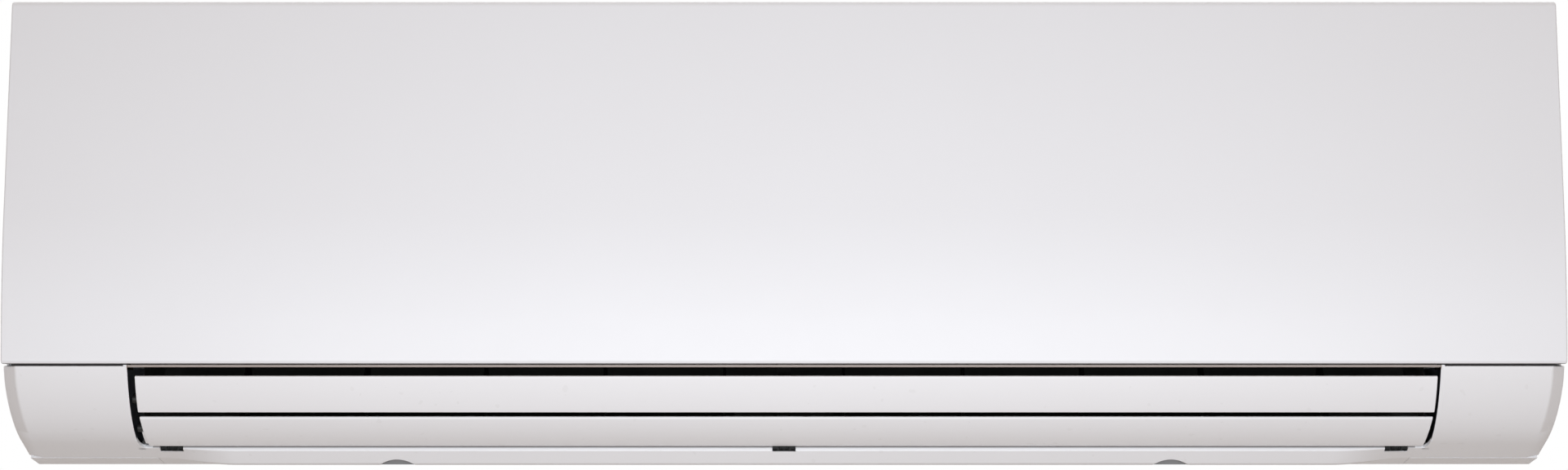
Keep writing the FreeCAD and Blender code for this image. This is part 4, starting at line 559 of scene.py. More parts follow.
def makeZinc():
    made = Finish("zincSteel")
    crystals = {"Vector": made.place, "Scale": zinc["spangle"]}
    cells = made.node("ShaderNodeTexVoronoi", None, crystals, output="Color")
    spangle = made.node("ShaderNodeSeparateColor", None, {0: cells})
    cloud = made.noise(zinc["cloud"], zinc["cloudDetail"])
    shade = spangle * zinc["spangleShare"] + cloud * (1 - zinc["spangleShare"])
    made.set(Base_Color=made.mix(shade, zinc["dark"], zinc["light"]), Metallic=1.0)
    uneven = swing(zinc["spangleUneven"], spangle) + swing(zinc["cloudUneven"], cloud)
    made.set(Roughness=zinc["rough"] + uneven)
    made.bump(made.noise(zinc["grain"]), zinc["strength"], zinc["relief"])
    return made


# Drawn or turned metal with a patchy dull film
drawn = {
    "filmDetail": 5.0,
    "filmRough": 0.65,
    "uneven": 0.25,
    "lines": 900.0,
    "strength": 0.12,
    "relief": 0.00008,
}


def drawnMetal(name, light, dark, rough, stain):
    made = Finish(name)
    film = made.noise(stain, drawn["filmDetail"], drawn["filmRough"])
    made.set(Base_Color=made.mix(film, dark, light), Metallic=1.0)
    made.set(Roughness=rough + swing(drawn["uneven"], film))
    made.bump(made.noise(drawn["lines"]), drawn["strength"], drawn["relief"])
    return made


# Coil banks: close upright fins along the width, with crushed patches; the dark between the fins is painted
# shade of the gaps between them
fins = {
    "pitch": 150.0,
    "finShare": 0.8,
    "crush": 40.0,
    "crushDetail": 3.0,
    "light": (0.68, 0.69, 0.7),
    "dark": (0.16, 0.165, 0.17),
    "metallic": 0.9,
    "rough": 0.42,
    "uneven": 0.15,
    "strength": 0.6,
    "relief": 0.0006,
}


def makeFins():
    made = Finish("finAluminium")
    upright = made.bands("X", fins["pitch"])
    crushed = made.noise(fins["crush"], fins["crushDetail"])
    # the dark part of the bands is painted shade between the fins
    shade = upright * fins["finShare"] + crushed * (1 - fins["finShare"])
    made.set(Base_Color=made.mix(shade, fins["dark"], fins["light"]), Metallic=fins["metallic"])
    made.set(Roughness=fins["rough"] + swing(fins["uneven"], crushed))
    made.bump(upright, fins["strength"], fins["relief"])
    return made


# Circuit boards: green laminate with faint copper runs under the lacquer
board = {
    "runs": 160.0,
    "runWidth": 0.06,
    "patch": 70.0,
    "patchLeast": 0.48,
    "ground": (0.012, 0.075, 0.028),
    "track": (0.03, 0.15, 0.05),
    "rough": 0.35,
    "uneven": 0.1,
    "strength": 0.2,
    "relief": 0.00006,
}


def makeBoard():
    made = Finish("boardGreen")
    bricks = {"Vector": made.place, "Scale": board["runs"], "Mortar Size": board["runWidth"]}
    runs = made.node("ShaderNodeTexBrick", None, bricks, output="Fac")
    patch = made.noise(board["patch"])
    track = runs * (patch > board["patchLeast"])
    made.set(Base_Color=made.mix(track, board["ground"], board["track"]))
    made.set(Roughness=board["rough"] + swing(board["uneven"], patch))
    made.bump(track, board["strength"], board["relief"])
    return made


# Filter mesh: round threads woven both ways, open between them
weave = {
    "pitch": 320.0,
    "threadLeast": 0.62,
    "dust": 30.0,
    "dustDetail": 4.0,
    "light": (0.1, 0.115, 0.13),
    "dark": (0.05, 0.06, 0.07),
    "rough": 0.6,
    "uneven": 0.1,
    "strength": 0.5,
    "relief": 0.0002,
}


def makeMesh():
    made = Finish("filterMesh")
    thread = made.maths("MAXIMUM", made.bands("X", weave["pitch"]), made.bands("Z", weave["pitch"]))
    dust = made.noise(weave["dust"], weave["dustDetail"])
    made.set(Base_Color=made.mix(dust, weave["dark"], weave["light"]))
    made.set(Roughness=weave["rough"] + swing(weave["uneven"], dust))
    made.set(Alpha=thread > weave["threadLeast"])
    made.bump(thread, weave["strength"], weave["relief"])
    return made


# Chassis: the casing's white outside, dark inside the scroll and the duct
scroll = {
    "half": 453.5,
    "back": 13.0,
    "floor": 11.0,
    "tint": (0.05, 0.05, 0.047),
    "roughen": 0.12,
}


def makeChassis():
    made = mouldedPlastic("chassisWhite", **shell)
    inside = made.inBox(scroll["half"], (scroll["back"], unit["front"]), (scroll["floor"], unit["top"]))
    made.tint(inside, scroll["tint"])
    made.set(Roughness=made.rough + scroll["roughen"] * inside)
    return made


zincSteel = makeZinc()
shaftSteel = drawnMetal("shaftSteel", (0.6, 0.6, 0.61), (0.5, 0.5, 0.51), rough=0.28, stain=60.0)
copper = drawnMetal("copper", (0.64, 0.31, 0.18), (0.36, 0.17, 0.1), rough=0.36, stain=45.0)
brass = drawnMetal("brass", (0.66, 0.5, 0.22), (0.5, 0.36, 0.15), rough=0.3, stain=70.0)
finAluminium = makeFins()
boardGreen = makeBoard()
filterMesh = makeMesh()
chassisWhite = makeChassis()
print("finishes made")

# Finishes of the CAD nodes; those that are modelled again below wear the same
dressed = {
    casingWhite: ("front_frame", "top_grille"),
    chassisWhite: ("rear_chassis",),
    panelWhite: ("front_panel",),
    louverWhite: ("upper_louver", "lower_louver"),
    hangerBlack: ("upper_louver_support", "lower_louver_support"),
    filterFrame: ("left_filter", "right_filter"),
    finAluminium: ("front_lower_coil", "front_upper_coil", "rear_coil"),
    zincSteel: ("wall_plate", "coil_end_plates", "motor_clamp", "frame_screws"),
    copper: ("coil_tubes", "supply_pipe", "return_pipe", "water_sensor"),
    brass: ("pipe_unions", "air_vent"),
    shaftSteel: ("fan_shafts",),
    ductBlack: ("drain_pan",),
    fanGrey: ("fan_wheel",),
    motorSteel: ("fan_motor", "louver_motor"),
    rubberBlack: ("rubber_mounts",),
    boxIvory: ("control_box", "control_box_cover"),
    boardGreen: ("control_board", "receiver_board"),
    partsBlack: ("board_components", "cable_clamp", "test_button"),
    terminalGrey: ("terminal_block",),
}
finishOf = {label: finish for finish, labels in dressed.items() for label in labels}
for label, item in nodes.items():
    dress(item, finishOf.get(label, clipDark))  # clips, vanes, rods and the louver link are dark

# Front panel: one block with rounded ends, hollowed from behind
panel = {
    "bottom": 70.0,
    "wall": 2.5,
    "lip": 9.0,
    "corner": 4.0,
    "cornerSteps": 8,
    "bendSteps": 28,
    "footRound": 3.0,
    "footSteps": 6,
    "backSteps": 12,
    "endEdge": (1.2, 3, 60),
    "ribX": (-450.0, -150.0, 150.0, 450.0),
    "ribDepth": 8.5,
    "ribWall": 2.0,
    "ribTop": 290.0,
    "ribSteps": 20,
    "ribEdge": (0.4, 1, 60),
    "pinRadius": 2.5,
    "pinLength": 7.3,
    "pinEdge": (0.4, 2, 35),
}
flangeDepth = (frontAt(0, hinge[1]) - hinge[0]) * math.cos(math.radians(unit["lean"])) + unit["hingeDrop"]
faceOffset = flangeDepth + unit["panelGap"]
earRoom = unit["hingeDrop"] + unit["panelGap"]


def panelOutline():
    front, bottom, lean = unit["front"], panel["bottom"], unit["lean"]
    corner, foot = panel["corner"], panel["footRound"]
    turn = math.radians(lean)
    cornerHeight = unit["top"] - corner
    cornerDepth = frontAt(0, cornerHeight + corner * math.sin(turn)) - corner * math.cos(turn)
    outline = [(hinge[0], unit["top"])]
    outline += arc((cornerDepth, cornerHeight), corner, 90, lean, panel["cornerSteps"])
    outline += bendArc(0, True, panel["bendSteps"])
    outline += arc((front - foot, bottom + foot), foot, 0, -90, panel["footSteps"])
    outline += [(front - flangeDepth, bottom)]
    outline += bendArc(flangeDepth, False, panel["backSteps"])
    outline += arc(hinge, unit["hingeDrop"], lean + 180, 90, panel["backSteps"])
    return outline[:-1]


def makePanel():
    half, front, bottom, wall = unit["halfWidth"], unit["front"], panel["bottom"], panel["wall"]
    body = softenEdges(bar("frontPanel", -half, half, panelOutline()), panel["endEdge"])
    back, below = hinge[0] - unit["hingeDrop"] - unit["overcut"], bottom - unit["overcut"]
    mouth, floor, ceiling = front - panel["lip"], bottom + wall, unit["top"] - wall
    pocket = [(mouth, below), (mouth, floor), (front - wall, floor),
              *bendArc(wall, False, panel["bendSteps"]),
              (frontAt(wall, ceiling), ceiling), (back, ceiling), (back, below)]
    cutAway(body, bar("panelPocket", wall - half, half - wall, pocket))
    strip = frontStrip(wall / 2, panel["ribDepth"], bottom + wall / 2, panel["ribTop"], panel["ribSteps"])
    rib = bar("panelRib", -panel["ribWall"] / 2, panel["ribWall"] / 2, strip)
    pieces = [body, *spread(softenEdges(rib, panel["ribEdge"]), panel["ribX"])]
    for side in (-1, 1):
        ends = sided(side, half - wall - panel["pinLength"], half - wall)
        pieces.append(softenEdges(roundBar("panelPin", *ends, hinge, panel["pinRadius"]), panel["pinEdge"]))
    finishPiece(joinUp("frontPanel", pieces), "front_panel", "panel_white", panelWhite, "front_panel")


makePanel()
print("panel made")

# Air outlet: cheeks and louvers lie on one curve, with a straight run below it
outlet = {
    "half": 450.0,
    "cheekTop": 69.2,
    "setback": 2.5,
    "radius": 80.0,
    "start": 15.0,
    "end": 70.0,
    "run": 29.0,
    "lipRun": 26.0,
    "wallInset": 0.4,
    "wallSteps": 20,
}
curveStart = math.radians(outlet["start"])
curveCentre = (unit["front"] - outlet["setback"] - outlet["radius"] * math.cos(curveStart),
               outlet["cheekTop"] + outlet["radius"] * math.sin(curveStart))


def onCurve(radius, angle):
    return around(curveCentre, radius, -angle)


def curveArc(radius, start, end, steps):
    return arc(curveCentre, radius, -start, -end, steps)


def runPoint(distance, inset=0.0):
    bend = onCurve(outlet["radius"] - inset, outlet["end"])
    turn = math.radians(outlet["end"])
    return (bend[0] - distance * math.sin(turn), bend[1] - distance * math.cos(turn))


def curvePoint(distance, inset):
    # along the run from the end of the curve, and up the curve where distance is below nought
    if distance > 0:
        return runPoint(distance, inset)
    return onCurve(outlet["radius"] - inset, outlet["end"] + math.degrees(distance / outlet["radius"]))


# Louvers: a curved blade, a stiffening rib, four arms, axles and the crank that the link drives
louvers = {
    "upper": {
        "axis": (200.0, 46.0),
        "blade": (20.9, 42.1),
        "bladeSteps": 14,
        "arm": (24.5, 40.5),
        "rib": 32.0,
        "axleEnd": 463.4,
    },
    "lower": {
        "axis": (178.0, 26.0),
        "blade": (45.5, 74.0),
        "bladeSteps": 18,
        "arm": (58.0, 72.0),
        "rib": 53.0,
        "axleEnd": 459.0,
    },
    "half": 446.5,
    "shift": 1.5,
    "wall": 2.4,
    "tipSteps": 6,
    "slantHeights": (38.0, 14.0),
    "slantIn": 2.2,
    "bladeEdge": (0.5, 2, 60),
    "ribReach": 6.0,
    "ribTurn": 1.0,
    "ribEdge": (0.3, 1, 35),
    "armInner": 4.8,
    "armWall": 4.0,
    "armBoss": 5.0,
    "armSteps": 8,
    "bossSteps": 14,
    "armEdge": (0.4, 2, 35),
    "axle": 3.0,
    "axleLeft": -455.5,
    "crankX": (456.0, 459.0),
    "crankReach": 10.0,
    "crankHalf": 3.5,
    "crankSteps": 10,
    "crankPinEnd": 461.8,
    "pin": 2.0,
    "pinEdge": (0.3, 2, 35),
}


def makeBlade(name, shape):
    radius, wall = outlet["radius"], louvers["wall"]
    tip = wall / 2
    trim = math.degrees(tip / radius)
    first, last = shape["blade"][0] + trim, shape["blade"][1] - trim
    outline = curveArc(radius, first, last, shape["bladeSteps"])
    outline += arc(onCurve(radius - tip, last), tip, -last, -last - 180, louvers["tipSteps"])
    outline += curveArc(radius - wall, last, first, shape["bladeSteps"])
    outline += arc(onCurve(radius - tip, first), tip, 180 - first, -first, louvers["tipSteps"])
    blade = bar(f"{name}Louver", louvers["shift"] - louvers["half"], louvers["shift"] + louvers["half"],
                outline[:-1])
    for point in blade.data.vertices:
        # the ends lean in towards the lip
        fall = shareOf(sectionPlace(point)[1], *louvers["slantHeights"])
        point.co.x -= math.copysign(metres(louvers["slantIn"] * fall), point.co.x)
    return softenEdges(blade, louvers["bladeEdge"])


def makeArms(shape, left, right):
    # an arm at each end of the blade and one on each side of the centre support
    middle = outlet["radius"] - louvers["wall"] / 2
    axis = shape["axis"]
    start, end = shape["arm"]
    foot = onCurve(middle, (start + end) / 2)
    heading = math.degrees(math.atan2(axis[1] - foot[1], axis[0] - foot[0]))
    web = curveArc(middle, start, end, louvers["armSteps"])
    web += arc(axis, louvers["armBoss"], heading + 90, heading - 90, louvers["bossSteps"])
    arm = softenEdges(bar("louverArm", 0, louvers["armWall"], web), louvers["armEdge"])
    return spread(arm, (left, -louvers["armInner"] - louvers["armWall"], louvers["armInner"], right))


def makeLouver(name):
    shape = louvers[name]
    axis, armWall = shape["axis"], louvers["armWall"]
    left, right = louvers["shift"] - louvers["half"], louvers["half"] - armWall
    outer, inner = outlet["radius"] - louvers["wall"] / 2, outlet["radius"] - louvers["ribReach"]
    start, end = shape["rib"] - louvers["ribTurn"], shape["rib"] + louvers["ribTurn"]
    section = [onCurve(outer, start), onCurve(outer, end), onCurve(inner, end), onCurve(inner, start)]
    rib = bar("louverRib", left + armWall, right, section)
    pieces = [makeBlade(name, shape), softenEdges(rib, louvers["ribEdge"]), *makeArms(shape, left, right)]
    crankLow, crankHigh = louvers["crankX"]
    crankPin = (axis[0] - louvers["crankReach"], axis[1])
    centre = louvers["armInner"] + armWall
    pins = [(louvers["axleLeft"], left + armWall, axis, louvers["axle"]),
            (right, shape["axleEnd"], axis, louvers["axle"]),
            (-centre, centre, axis, louvers["pin"]),
            (crankLow, louvers["crankPinEnd"], crankPin, louvers["pin"])]
    for pin in pins:
        pieces.append(softenEdges(roundBar("louverPin", *pin), louvers["pinEdge"]))
    reach, steps = louvers["crankHalf"], louvers["crankSteps"]
    section = [*arc(axis, reach, 90, -90, steps), *arc(crankPin, reach, -90, -270, steps)]
    pieces.append(softenEdges(bar("louverCrank", crankLow, crankHigh, section), louvers["pinEdge"]))
    body = f"{name}_louver"
    finishPiece(joinUp(f"{name}Louver", pieces), body, "panel_white", louverWhite, body)


makeLouver("upper")
makeLouver("lower")
print("louvers made")

# Duct behind the outlet: its floor, and the drain pan over it
duct = {
    "foot": (103.0, 50.0),
    "slope": 33.0,
    "panRear": 154.0,
    "panHeight": 85.0,
    "panSlope": 13.0,
    "panFront": 204.0,
}


def floorAt(depth):
    return duct["foot"][1] - (depth - duct["foot"][0]) * math.tan(math.radians(duct["slope"]))


def ceilingAt(depth):
    return duct["panHeight"] - (depth - duct["panRear"]) * math.tan(math.radians(duct["panSlope"]))


frameWall = unit["wall"]
frameInside = unit["halfWidth"] - frameWall
lipBack = runPoint(outlet["lipRun"])
nose = runPoint(outlet["lipRun"], frameWall + unit["gap"])
lipHeight = floorAt(nose[0])
cheekFoot = runPoint(outlet["run"])

# Cheeks beside the outlet, with a tapering facet; their outer ends lean in towards the underside
cheeks = {
    "seamDrop": 0.55,
    "capSink": 0.2,
    "facetX": 526.7,
    "facetTop": 8.0,
    "facetBend": 3.5,
    "facetFoot": 2.0,
    "steps": 30,
    "hollowSteps": 20,
    "edge": (1.1, 3, 28),
    "leanHeights": (60.0, 6.7),
    "leanBack": 125.0,
    "leanMargin": 1.0,
    "leanIn": 5.0,
    "leanPower": 1.5,
}


def cheekSections():
    # beside the outlet and at the outer end
    radius, top = outlet["radius"], outlet["cheekTop"] - cheeks["seamDrop"]
    first = math.degrees(math.asin((curveCentre[1] - top) / radius))
    full = [*curveArc(radius, first, outlet["end"], cheeks["steps"]), cheekFoot, (cheekFoot[0], top)]
    start = (full[0][0] - cheeks["facetTop"], top)
    bend = onCurve(radius - cheeks["facetBend"], outlet["end"])
    foot = runPoint(outlet["run"], cheeks["facetFoot"])
    inset = [*arcBetween(start, bend, radius - cheeks["facetFoot"], cheeks["steps"]), foot, (foot[0], top)]
    return full, inset


def makeCheek(side):
    full, inset = cheekSections()
    near, far, half = outlet["half"], cheeks["facetX"], unit["halfWidth"] - cheeks["capSink"]
    cheek = loft("cheek", [(near * side, full), (far * side, full), (half * side, inset)])
    softenEdges(cheek, cheeks["edge"])
    radius, top, steps = outlet["radius"] - frameWall, outlet["cheekTop"] - frameWall, cheeks["hollowSteps"]
    first = math.degrees(math.asin((curveCentre[1] - top) / radius))
    foot = runPoint(outlet["run"] + frameWall, frameWall)
    hollow = [*curveArc(radius, first, outlet["end"], steps), foot, (foot[0], top)]
    start = (full[0][0] - cheeks["facetTop"] - frameWall, top)
    tight = radius - cheeks["facetBend"] / 2
    endHollow = [*arcBetween(start, onCurve(tight, outlet["end"]), tight, steps), foot, (foot[0], top)]
    return cutAway(cheek, bar("cheekHollow", *sided(side, near + frameWall, far), hollow),
                   bar("cheekEndHollow", *sided(side, far - frameWall, half - frameWall), endHollow),
                   block("cheekBack", sided(side, near + frameWall, half - frameWall), (foot[0], lipBack[0]),
                         (nose[1], outlet["cheekTop"] + frameWall)))


def leanIn(piece):
    high, low = cheeks["leanHeights"]
    back = cheeks["leanBack"]
    choose(piece)
    bpy.ops.object.mode_set(mode="EDIT")
    for place, normal in ((spot(0, back, 0), (0, 1, 0)), (spot(0, 0, high), (0, 0, 1))):
        bpy.ops.mesh.select_all(action="SELECT")
        bpy.ops.mesh.bisect(plane_co=place, plane_no=normal)
    bpy.ops.object.mode_set(mode="OBJECT")
    for point in piece.data.vertices:
        depth, height = sectionPlace(point)
        if depth > back + cheeks["leanMargin"]:
            fall = shareOf(height, high, low) ** cheeks["leanPower"]
            across = shareOf(millimetres(abs(point.co.x)), outlet["half"], cheeks["facetX"])
            point.co.x -= math.copysign(metres(cheeks["leanIn"] * fall * across), point.co.x)
    return piece


# Face of the frame behind the panel, with windows for the filters and holes for screws and button
face = {
    "heights": (72.0, 306.0),
    "steps": 20,
    "edge": (0.5, 2, 50),
    "toolDepths": (166.0, 230.0),
    "windowHeights": (112.0, 286.0),
    "windows": ((-500.0, -10.0), (10.0, 440.0)),
    "windowCorner": 5.0,
    "windowSteps": 6,
    "screws": ((-520.0, 88.0), (520.0, 88.0)),
    "screwHole": 2.2,
    "button": (506.0, 86.0),
    "buttonHole": 2.55,
}


def makeWindow(across):
    tool = block("window", across, face["toolDepths"], face["windowHeights"])
    corner = metres(face["windowCorner"])
    choose(tool)
    bpy.ops.object.mode_set(mode="EDIT")
    bpy.ops.mesh.select_all(action="DESELECT")
    bpy.ops.object.mode_set(mode="OBJECT")
    for edge in tool.data.edges:
        start, end = [tool.data.vertices[i].co.y for i in edge.vertices]
        edge.select = abs(start - end) > corner  # the four edges that run towards the room
    bpy.ops.object.mode_set(mode="EDIT")
    bpy.ops.mesh.bevel(offset=corner, segments=face["windowSteps"])
    bpy.ops.object.mode_set(mode="OBJECT")
    return tool


def makeFace():
    strip = frontStrip(faceOffset, faceOffset + frameWall, *face["heights"], face["steps"])
    sheet = bar("frameFace", -frameInside, frameInside, strip)
    depths = face["toolDepths"]
    tools = [makeWindow(across) for across in face["windows"]]
    tools += [depthBar("screwHole", *place, depths, face["screwHole"]) for place in face["screws"]]
    tools.append(depthBar("buttonHole", *face["button"], depths, face["buttonHole"]))
    return softenEdges(cutAway(sheet, *tools), face["edge"])


# Shell of the front frame: side walls, top, hinge lugs and the posts of the louver motor
casing = {
    "backEdge": 6.0,
    "topDrop": 1.0,
    "earStop": 150.0,
    "earSteps": 6,
    "bendSteps": 14,
    "sideEdge": (0.7, 2, 40),
    "grilleHalf": 500.0,
    "grilleDepths": (30.0, 150.0),
    "topEdge": (0.5, 2, 50),
    "riserDrop": 0.2,
    "riserEdge": (0.4, 2, 50),
    "lugX": (526.2, 533.2),
    "lugRadius": 5.5,
    "armRise": 2.3,
    "lugEdge": (0.4, 2, 35),
    "motorPostX": (450.0, 463.0),
    "motorPosts": ((176.8, 51.7), (211.8, 51.7)),
    "motorPostRadius": 3.5,
    "motorPostEdge": (0.3, 2, 35),
}
frameTop = unit["top"] - casing["topDrop"]
earBack = around(hinge, earRoom, casing["earStop"])[0]


def makeSideWall(side):
    inset = cheekSections()[1]
    back = casing["backEdge"]
    outline = [(back, inset[-2][1]), *reversed(inset[:-1]), (unit["front"] - faceOffset, outlet["cheekTop"]),
               *bendArc(faceOffset, False, casing["bendSteps"]),
               *arc(hinge, earRoom, unit["lean"] + 180, casing["earStop"], casing["earSteps"]),
               (earBack, frameTop), (back, frameTop)]
    sheet = bar("sideWall", *sided(side, frameInside, unit["halfWidth"]), outline)
    return softenEdges(sheet, casing["sideEdge"])


def makeOutletWall(side):
    clear, gap = duct["panFront"] + unit["gap"], unit["gap"]
    radius = outlet["radius"] - outlet["wallInset"]
    outline = [*curveArc(radius, outlet["start"], outlet["end"], outlet["wallSteps"]), lipBack,
               (lipBack[0], ceilingAt(lipBack[0]) - gap), (clear, ceilingAt(clear) - gap),
               (clear, outlet["cheekTop"])]
    return bar("outletWall", *sided(side, outlet["half"], outlet["half"] + frameWall), outline)


def makeHingeLug(side):
    ends, radius = sided(side, *casing["lugX"]), casing["lugRadius"]
    lug = roundBar("hingeLug", *ends, hinge, radius)
    arm = block("hingeArm", ends, (hinge[0] - earRoom - frameWall, hinge[0]),
                (hinge[1] - radius, hinge[1] + casing["armRise"]))
    return [softenEdges(lug, casing["lugEdge"]), softenEdges(arm, casing["lugEdge"])]


def makeTop():
    across, half, over = (-frameInside, frameInside), casing["grilleHalf"], unit["overcut"]
    plate = block("frameTop", across, (casing["backEdge"], earBack), (frameTop - frameWall, frameTop))
    opening = (frameTop - over, frameTop + over)
    cutAway(plate, block("grilleOpening", (-half, half), casing["grilleDepths"], opening))
    riser = hinge[0] - earRoom - unit["gap"]
    upright = block("frameRiser", across, (riser - frameWall, riser),
                    (face["heights"][1] - frameWall, frameTop - casing["riserDrop"]))
    return [softenEdges(plate, casing["topEdge"]), softenEdges(upright, casing["riserEdge"])]


def makeMotorPosts():
    posts = []
    for centre in casing["motorPosts"]:
        post = roundBar("motorPost", *casing["motorPostX"], centre, casing["motorPostRadius"])
        posts.append(softenEdges(post, casing["motorPostEdge"]))
    return posts


# Lip and skirt below the outlet: a chin that fades towards the cheeks, notches and finger recesses
lip = {
    "start": 8.5,
    "front": 166.0,
    "fall": 3.2,
    "round": 4.0,
    "roundSteps": 10,
    "chin": (171.0, 9.8),
    "chinRound": 5.0,
    "chinFoot": (162.5, 1.4),
    "chinBase": (159.5, 0.0),
    "chinFade": (385.0, 440.0),
    "fadeSteps": 12,
    "skirtBack": 118.0,
    "edge": (0.4, 2, 40),
    "notchX": (-428.0, 0.0, 428.0),
    "notchHalf": 8.2,
    "notchBack": 163.0,
    "notchFloor": 9.5,
    "recessX": (-271.0, 271.0),
    "recessRadius": 22.5,
    "recessRise": 3.8,
    "recessBack": 147.0,
    "recessSides": 96,
    "endOverlap": 0.2,
    "endEdge": (0.3, 2, 50),
    "fillet": (4.0, 5.0),
    "filletFoot": 3.0,
    "filletSink": 0.05,
    "filletSteps": 8,
    "filletEdge": (0.5, 2, 50),
}


def lipRounding(end, radius):
    return arcBetween((lip["front"], lipHeight - lip["fall"]), end, radius, lip["roundSteps"])


def lipSection(fade):
    # fade 0 is the full chin, 1 the plain run of the cheek
    full = [*lipRounding(lip["chin"], lip["chinRound"]), lip["chinFoot"], lip["chinBase"]]
    foot = runPoint(outlet["run"] - unit["gap"])
    plain = [*lipRounding(runPoint(lip["start"]), lip["round"]), foot, cheekFoot]
    front = [between(a, b, fade) for a, b in zip(full, plain)]
    return [(lipBack[0], lipHeight), *front, (lip["skirtBack"], 0), (lip["skirtBack"], frameWall),
            runPoint(outlet["run"], frameWall), runPoint(outlet["lipRun"] - frameWall * 2, frameWall)]


def makeLip():
    start, end = lip["chinFade"]
    stations = []
    for i in range(lip["fadeSteps"] + 1):
        share = i / lip["fadeSteps"]
        eased = share * share * (3 - 2 * share)
        stations.append((start + (end - start) * share, lipSection(eased)))
    piece = loft("frameLip", [(-x, section) for x, section in reversed(stations)] + stations)
    half, radius = lip["notchHalf"], lip["recessRadius"]
    tools = []
    for x in lip["notchX"]:
        tools.append(block("notch", (x - half, x + half), (lip["notchBack"], unit["front"]),
                           (lip["notchFloor"], lipHeight + frameWall)))
    for x in lip["recessX"]:
        tools.append(depthBar("recess", x, lip["recessRise"] - radius, (lip["recessBack"], unit["front"]),
                              radius, lip["recessSides"]))
    return softenEdges(cutAway(piece, *tools), lip["edge"])


def makeLipEnd(side):
    # from the faded chin to the cheek, rising in a round corner
    width, rise = lip["fillet"]
    far, sink, steps = outlet["half"], lip["filletSink"], lip["filletSteps"]
    section = [(lipBack[0], lipHeight), *lipRounding(runPoint(lip["start"], sink), lip["round"]),
               runPoint(outlet["run"], sink), runPoint(outlet["run"], frameWall),
               runPoint(outlet["lipRun"], frameWall)]
    end = bar("lipEnd", *sided(side, lip["chinFade"][1] - lip["endOverlap"], far + frameWall), section)
    rim = []
    for i in range(steps + 1):
        share = i / steps
        lift = rise * (1 - math.sqrt(1 - share * share))
        rim.append((far - width + width * share, lip["start"] - lift / math.cos(math.radians(outlet["end"]))))
    rim.append((far + frameWall, rim[-1][1]))
    low = lip["start"] + lip["filletFoot"]
    stations = []
    for x, top in rim:
        rising = [low + (top - low) * i / steps for i in range(steps + 1)]
        outside = [curvePoint(distance, sink) for distance in rising]
        inside = [curvePoint(distance, frameWall) for distance in reversed(rising)]
        stations.append((x * side, outside + inside))
    corner = loft("lipCorner", stations)
    return [softenEdges(end, lip["endEdge"]), softenEdges(corner, lip["filletEdge"])]


# Rail that closes the outlet under the panel, with a web behind the seam
rail = {
    "height": 1.4,
    "setback": 3.0,
    "roundSteps": 6,
    "webSink": 0.15,
    "edge": (0.3, 2, 50),
}


def makeRail():
    high, drop, sink = outlet["cheekTop"], rail["height"], rail["webSink"]
    back = unit["front"] - faceOffset - frameWall
    front = onCurve(outlet["radius"], outlet["start"])[0] - rail["setback"]
    rounding = arc((front - drop, high), drop, -90, 0, rail["roundSteps"])
    piece = bar("outletRail", -outlet["half"], outlet["half"], [(back, high), (back, high - drop), *rounding])
    half = frameInside - unit["gap"]
    web = block("railWeb", (-half, half), (back + sink, back + frameWall - sink),
                (high - frameWall / 2, face["heights"][0] + frameWall))
    return [softenEdges(piece, rail["edge"]), web]


def makeFrame():
    pieces = [makeFace(), *makeTop(), makeLip(), *makeRail()]
    for side in (-1, 1):
        pieces += [leanIn(makeCheek(side)), leanIn(makeSideWall(side)), makeOutletWall(side)]
        pieces += makeHingeLug(side) + makeLipEnd(side)
    pieces += makeMotorPosts()
    finishPiece(joinUp("frontFrame", pieces), "casing", "casing_white", casingWhite, "front_frame")


makeFrame()
print("frame made")

# Filters: a moulded grid on the bent face of the frame, with woven mesh stretched in it
filters = {
    "left": (-505.0, -5.0),
    "right": (5.0, 445.0),
    "heights": (107.0, 291.0),
    "bendSteps": 16,
    "thick": 5.0,
    "rim": 6.0,
    "columns": 3,
    "rows": 2,
    "gridEdge": (0.6, 2, 45),
    "rib": 1.6,
    "ribsAcross": 3,
    "ribsUp": 2,
    "ribThick": 2.4,
    "ribEdge": (0.3, 1, 60),
    "mesh": 0.3,
    "meshOffset": 2.4,
}


def bentEdge(offset, low, high):
    radius = unit["bendRadius"] - offset
    first = math.degrees(math.asin((low - unit["bendLow"]) / radius))
    bend = arc(bendCentre, radius, first, unit["lean"], filters["bendSteps"])
    return [*bend, (frontAt(offset, high), high)]


def bentStrip(near, far, low, high):
    # follows the bend and the lean of the front between two heights
    return bentEdge(near, low, high) + bentEdge(far, low, high)[::-1]


def bentFront(offset, height):
    # depth of the bent or leaning front at a height
    if height > bendTop(offset)[1]:
        return frontAt(offset, height)
    reach = unit["bendRadius"] - offset
    return bendCentre[0] + math.sqrt(reach * reach - (height - unit["bendLow"]) ** 2)


def ribPlaces(start, cell, cells, ribs):
    # middles of the ribs that divide each cell of the grid evenly
    clear = cell - filters["rim"]
    return [start + cell * i + clear * k / (ribs + 1) for i in range(cells) for k in range(1, ribs + 1)]


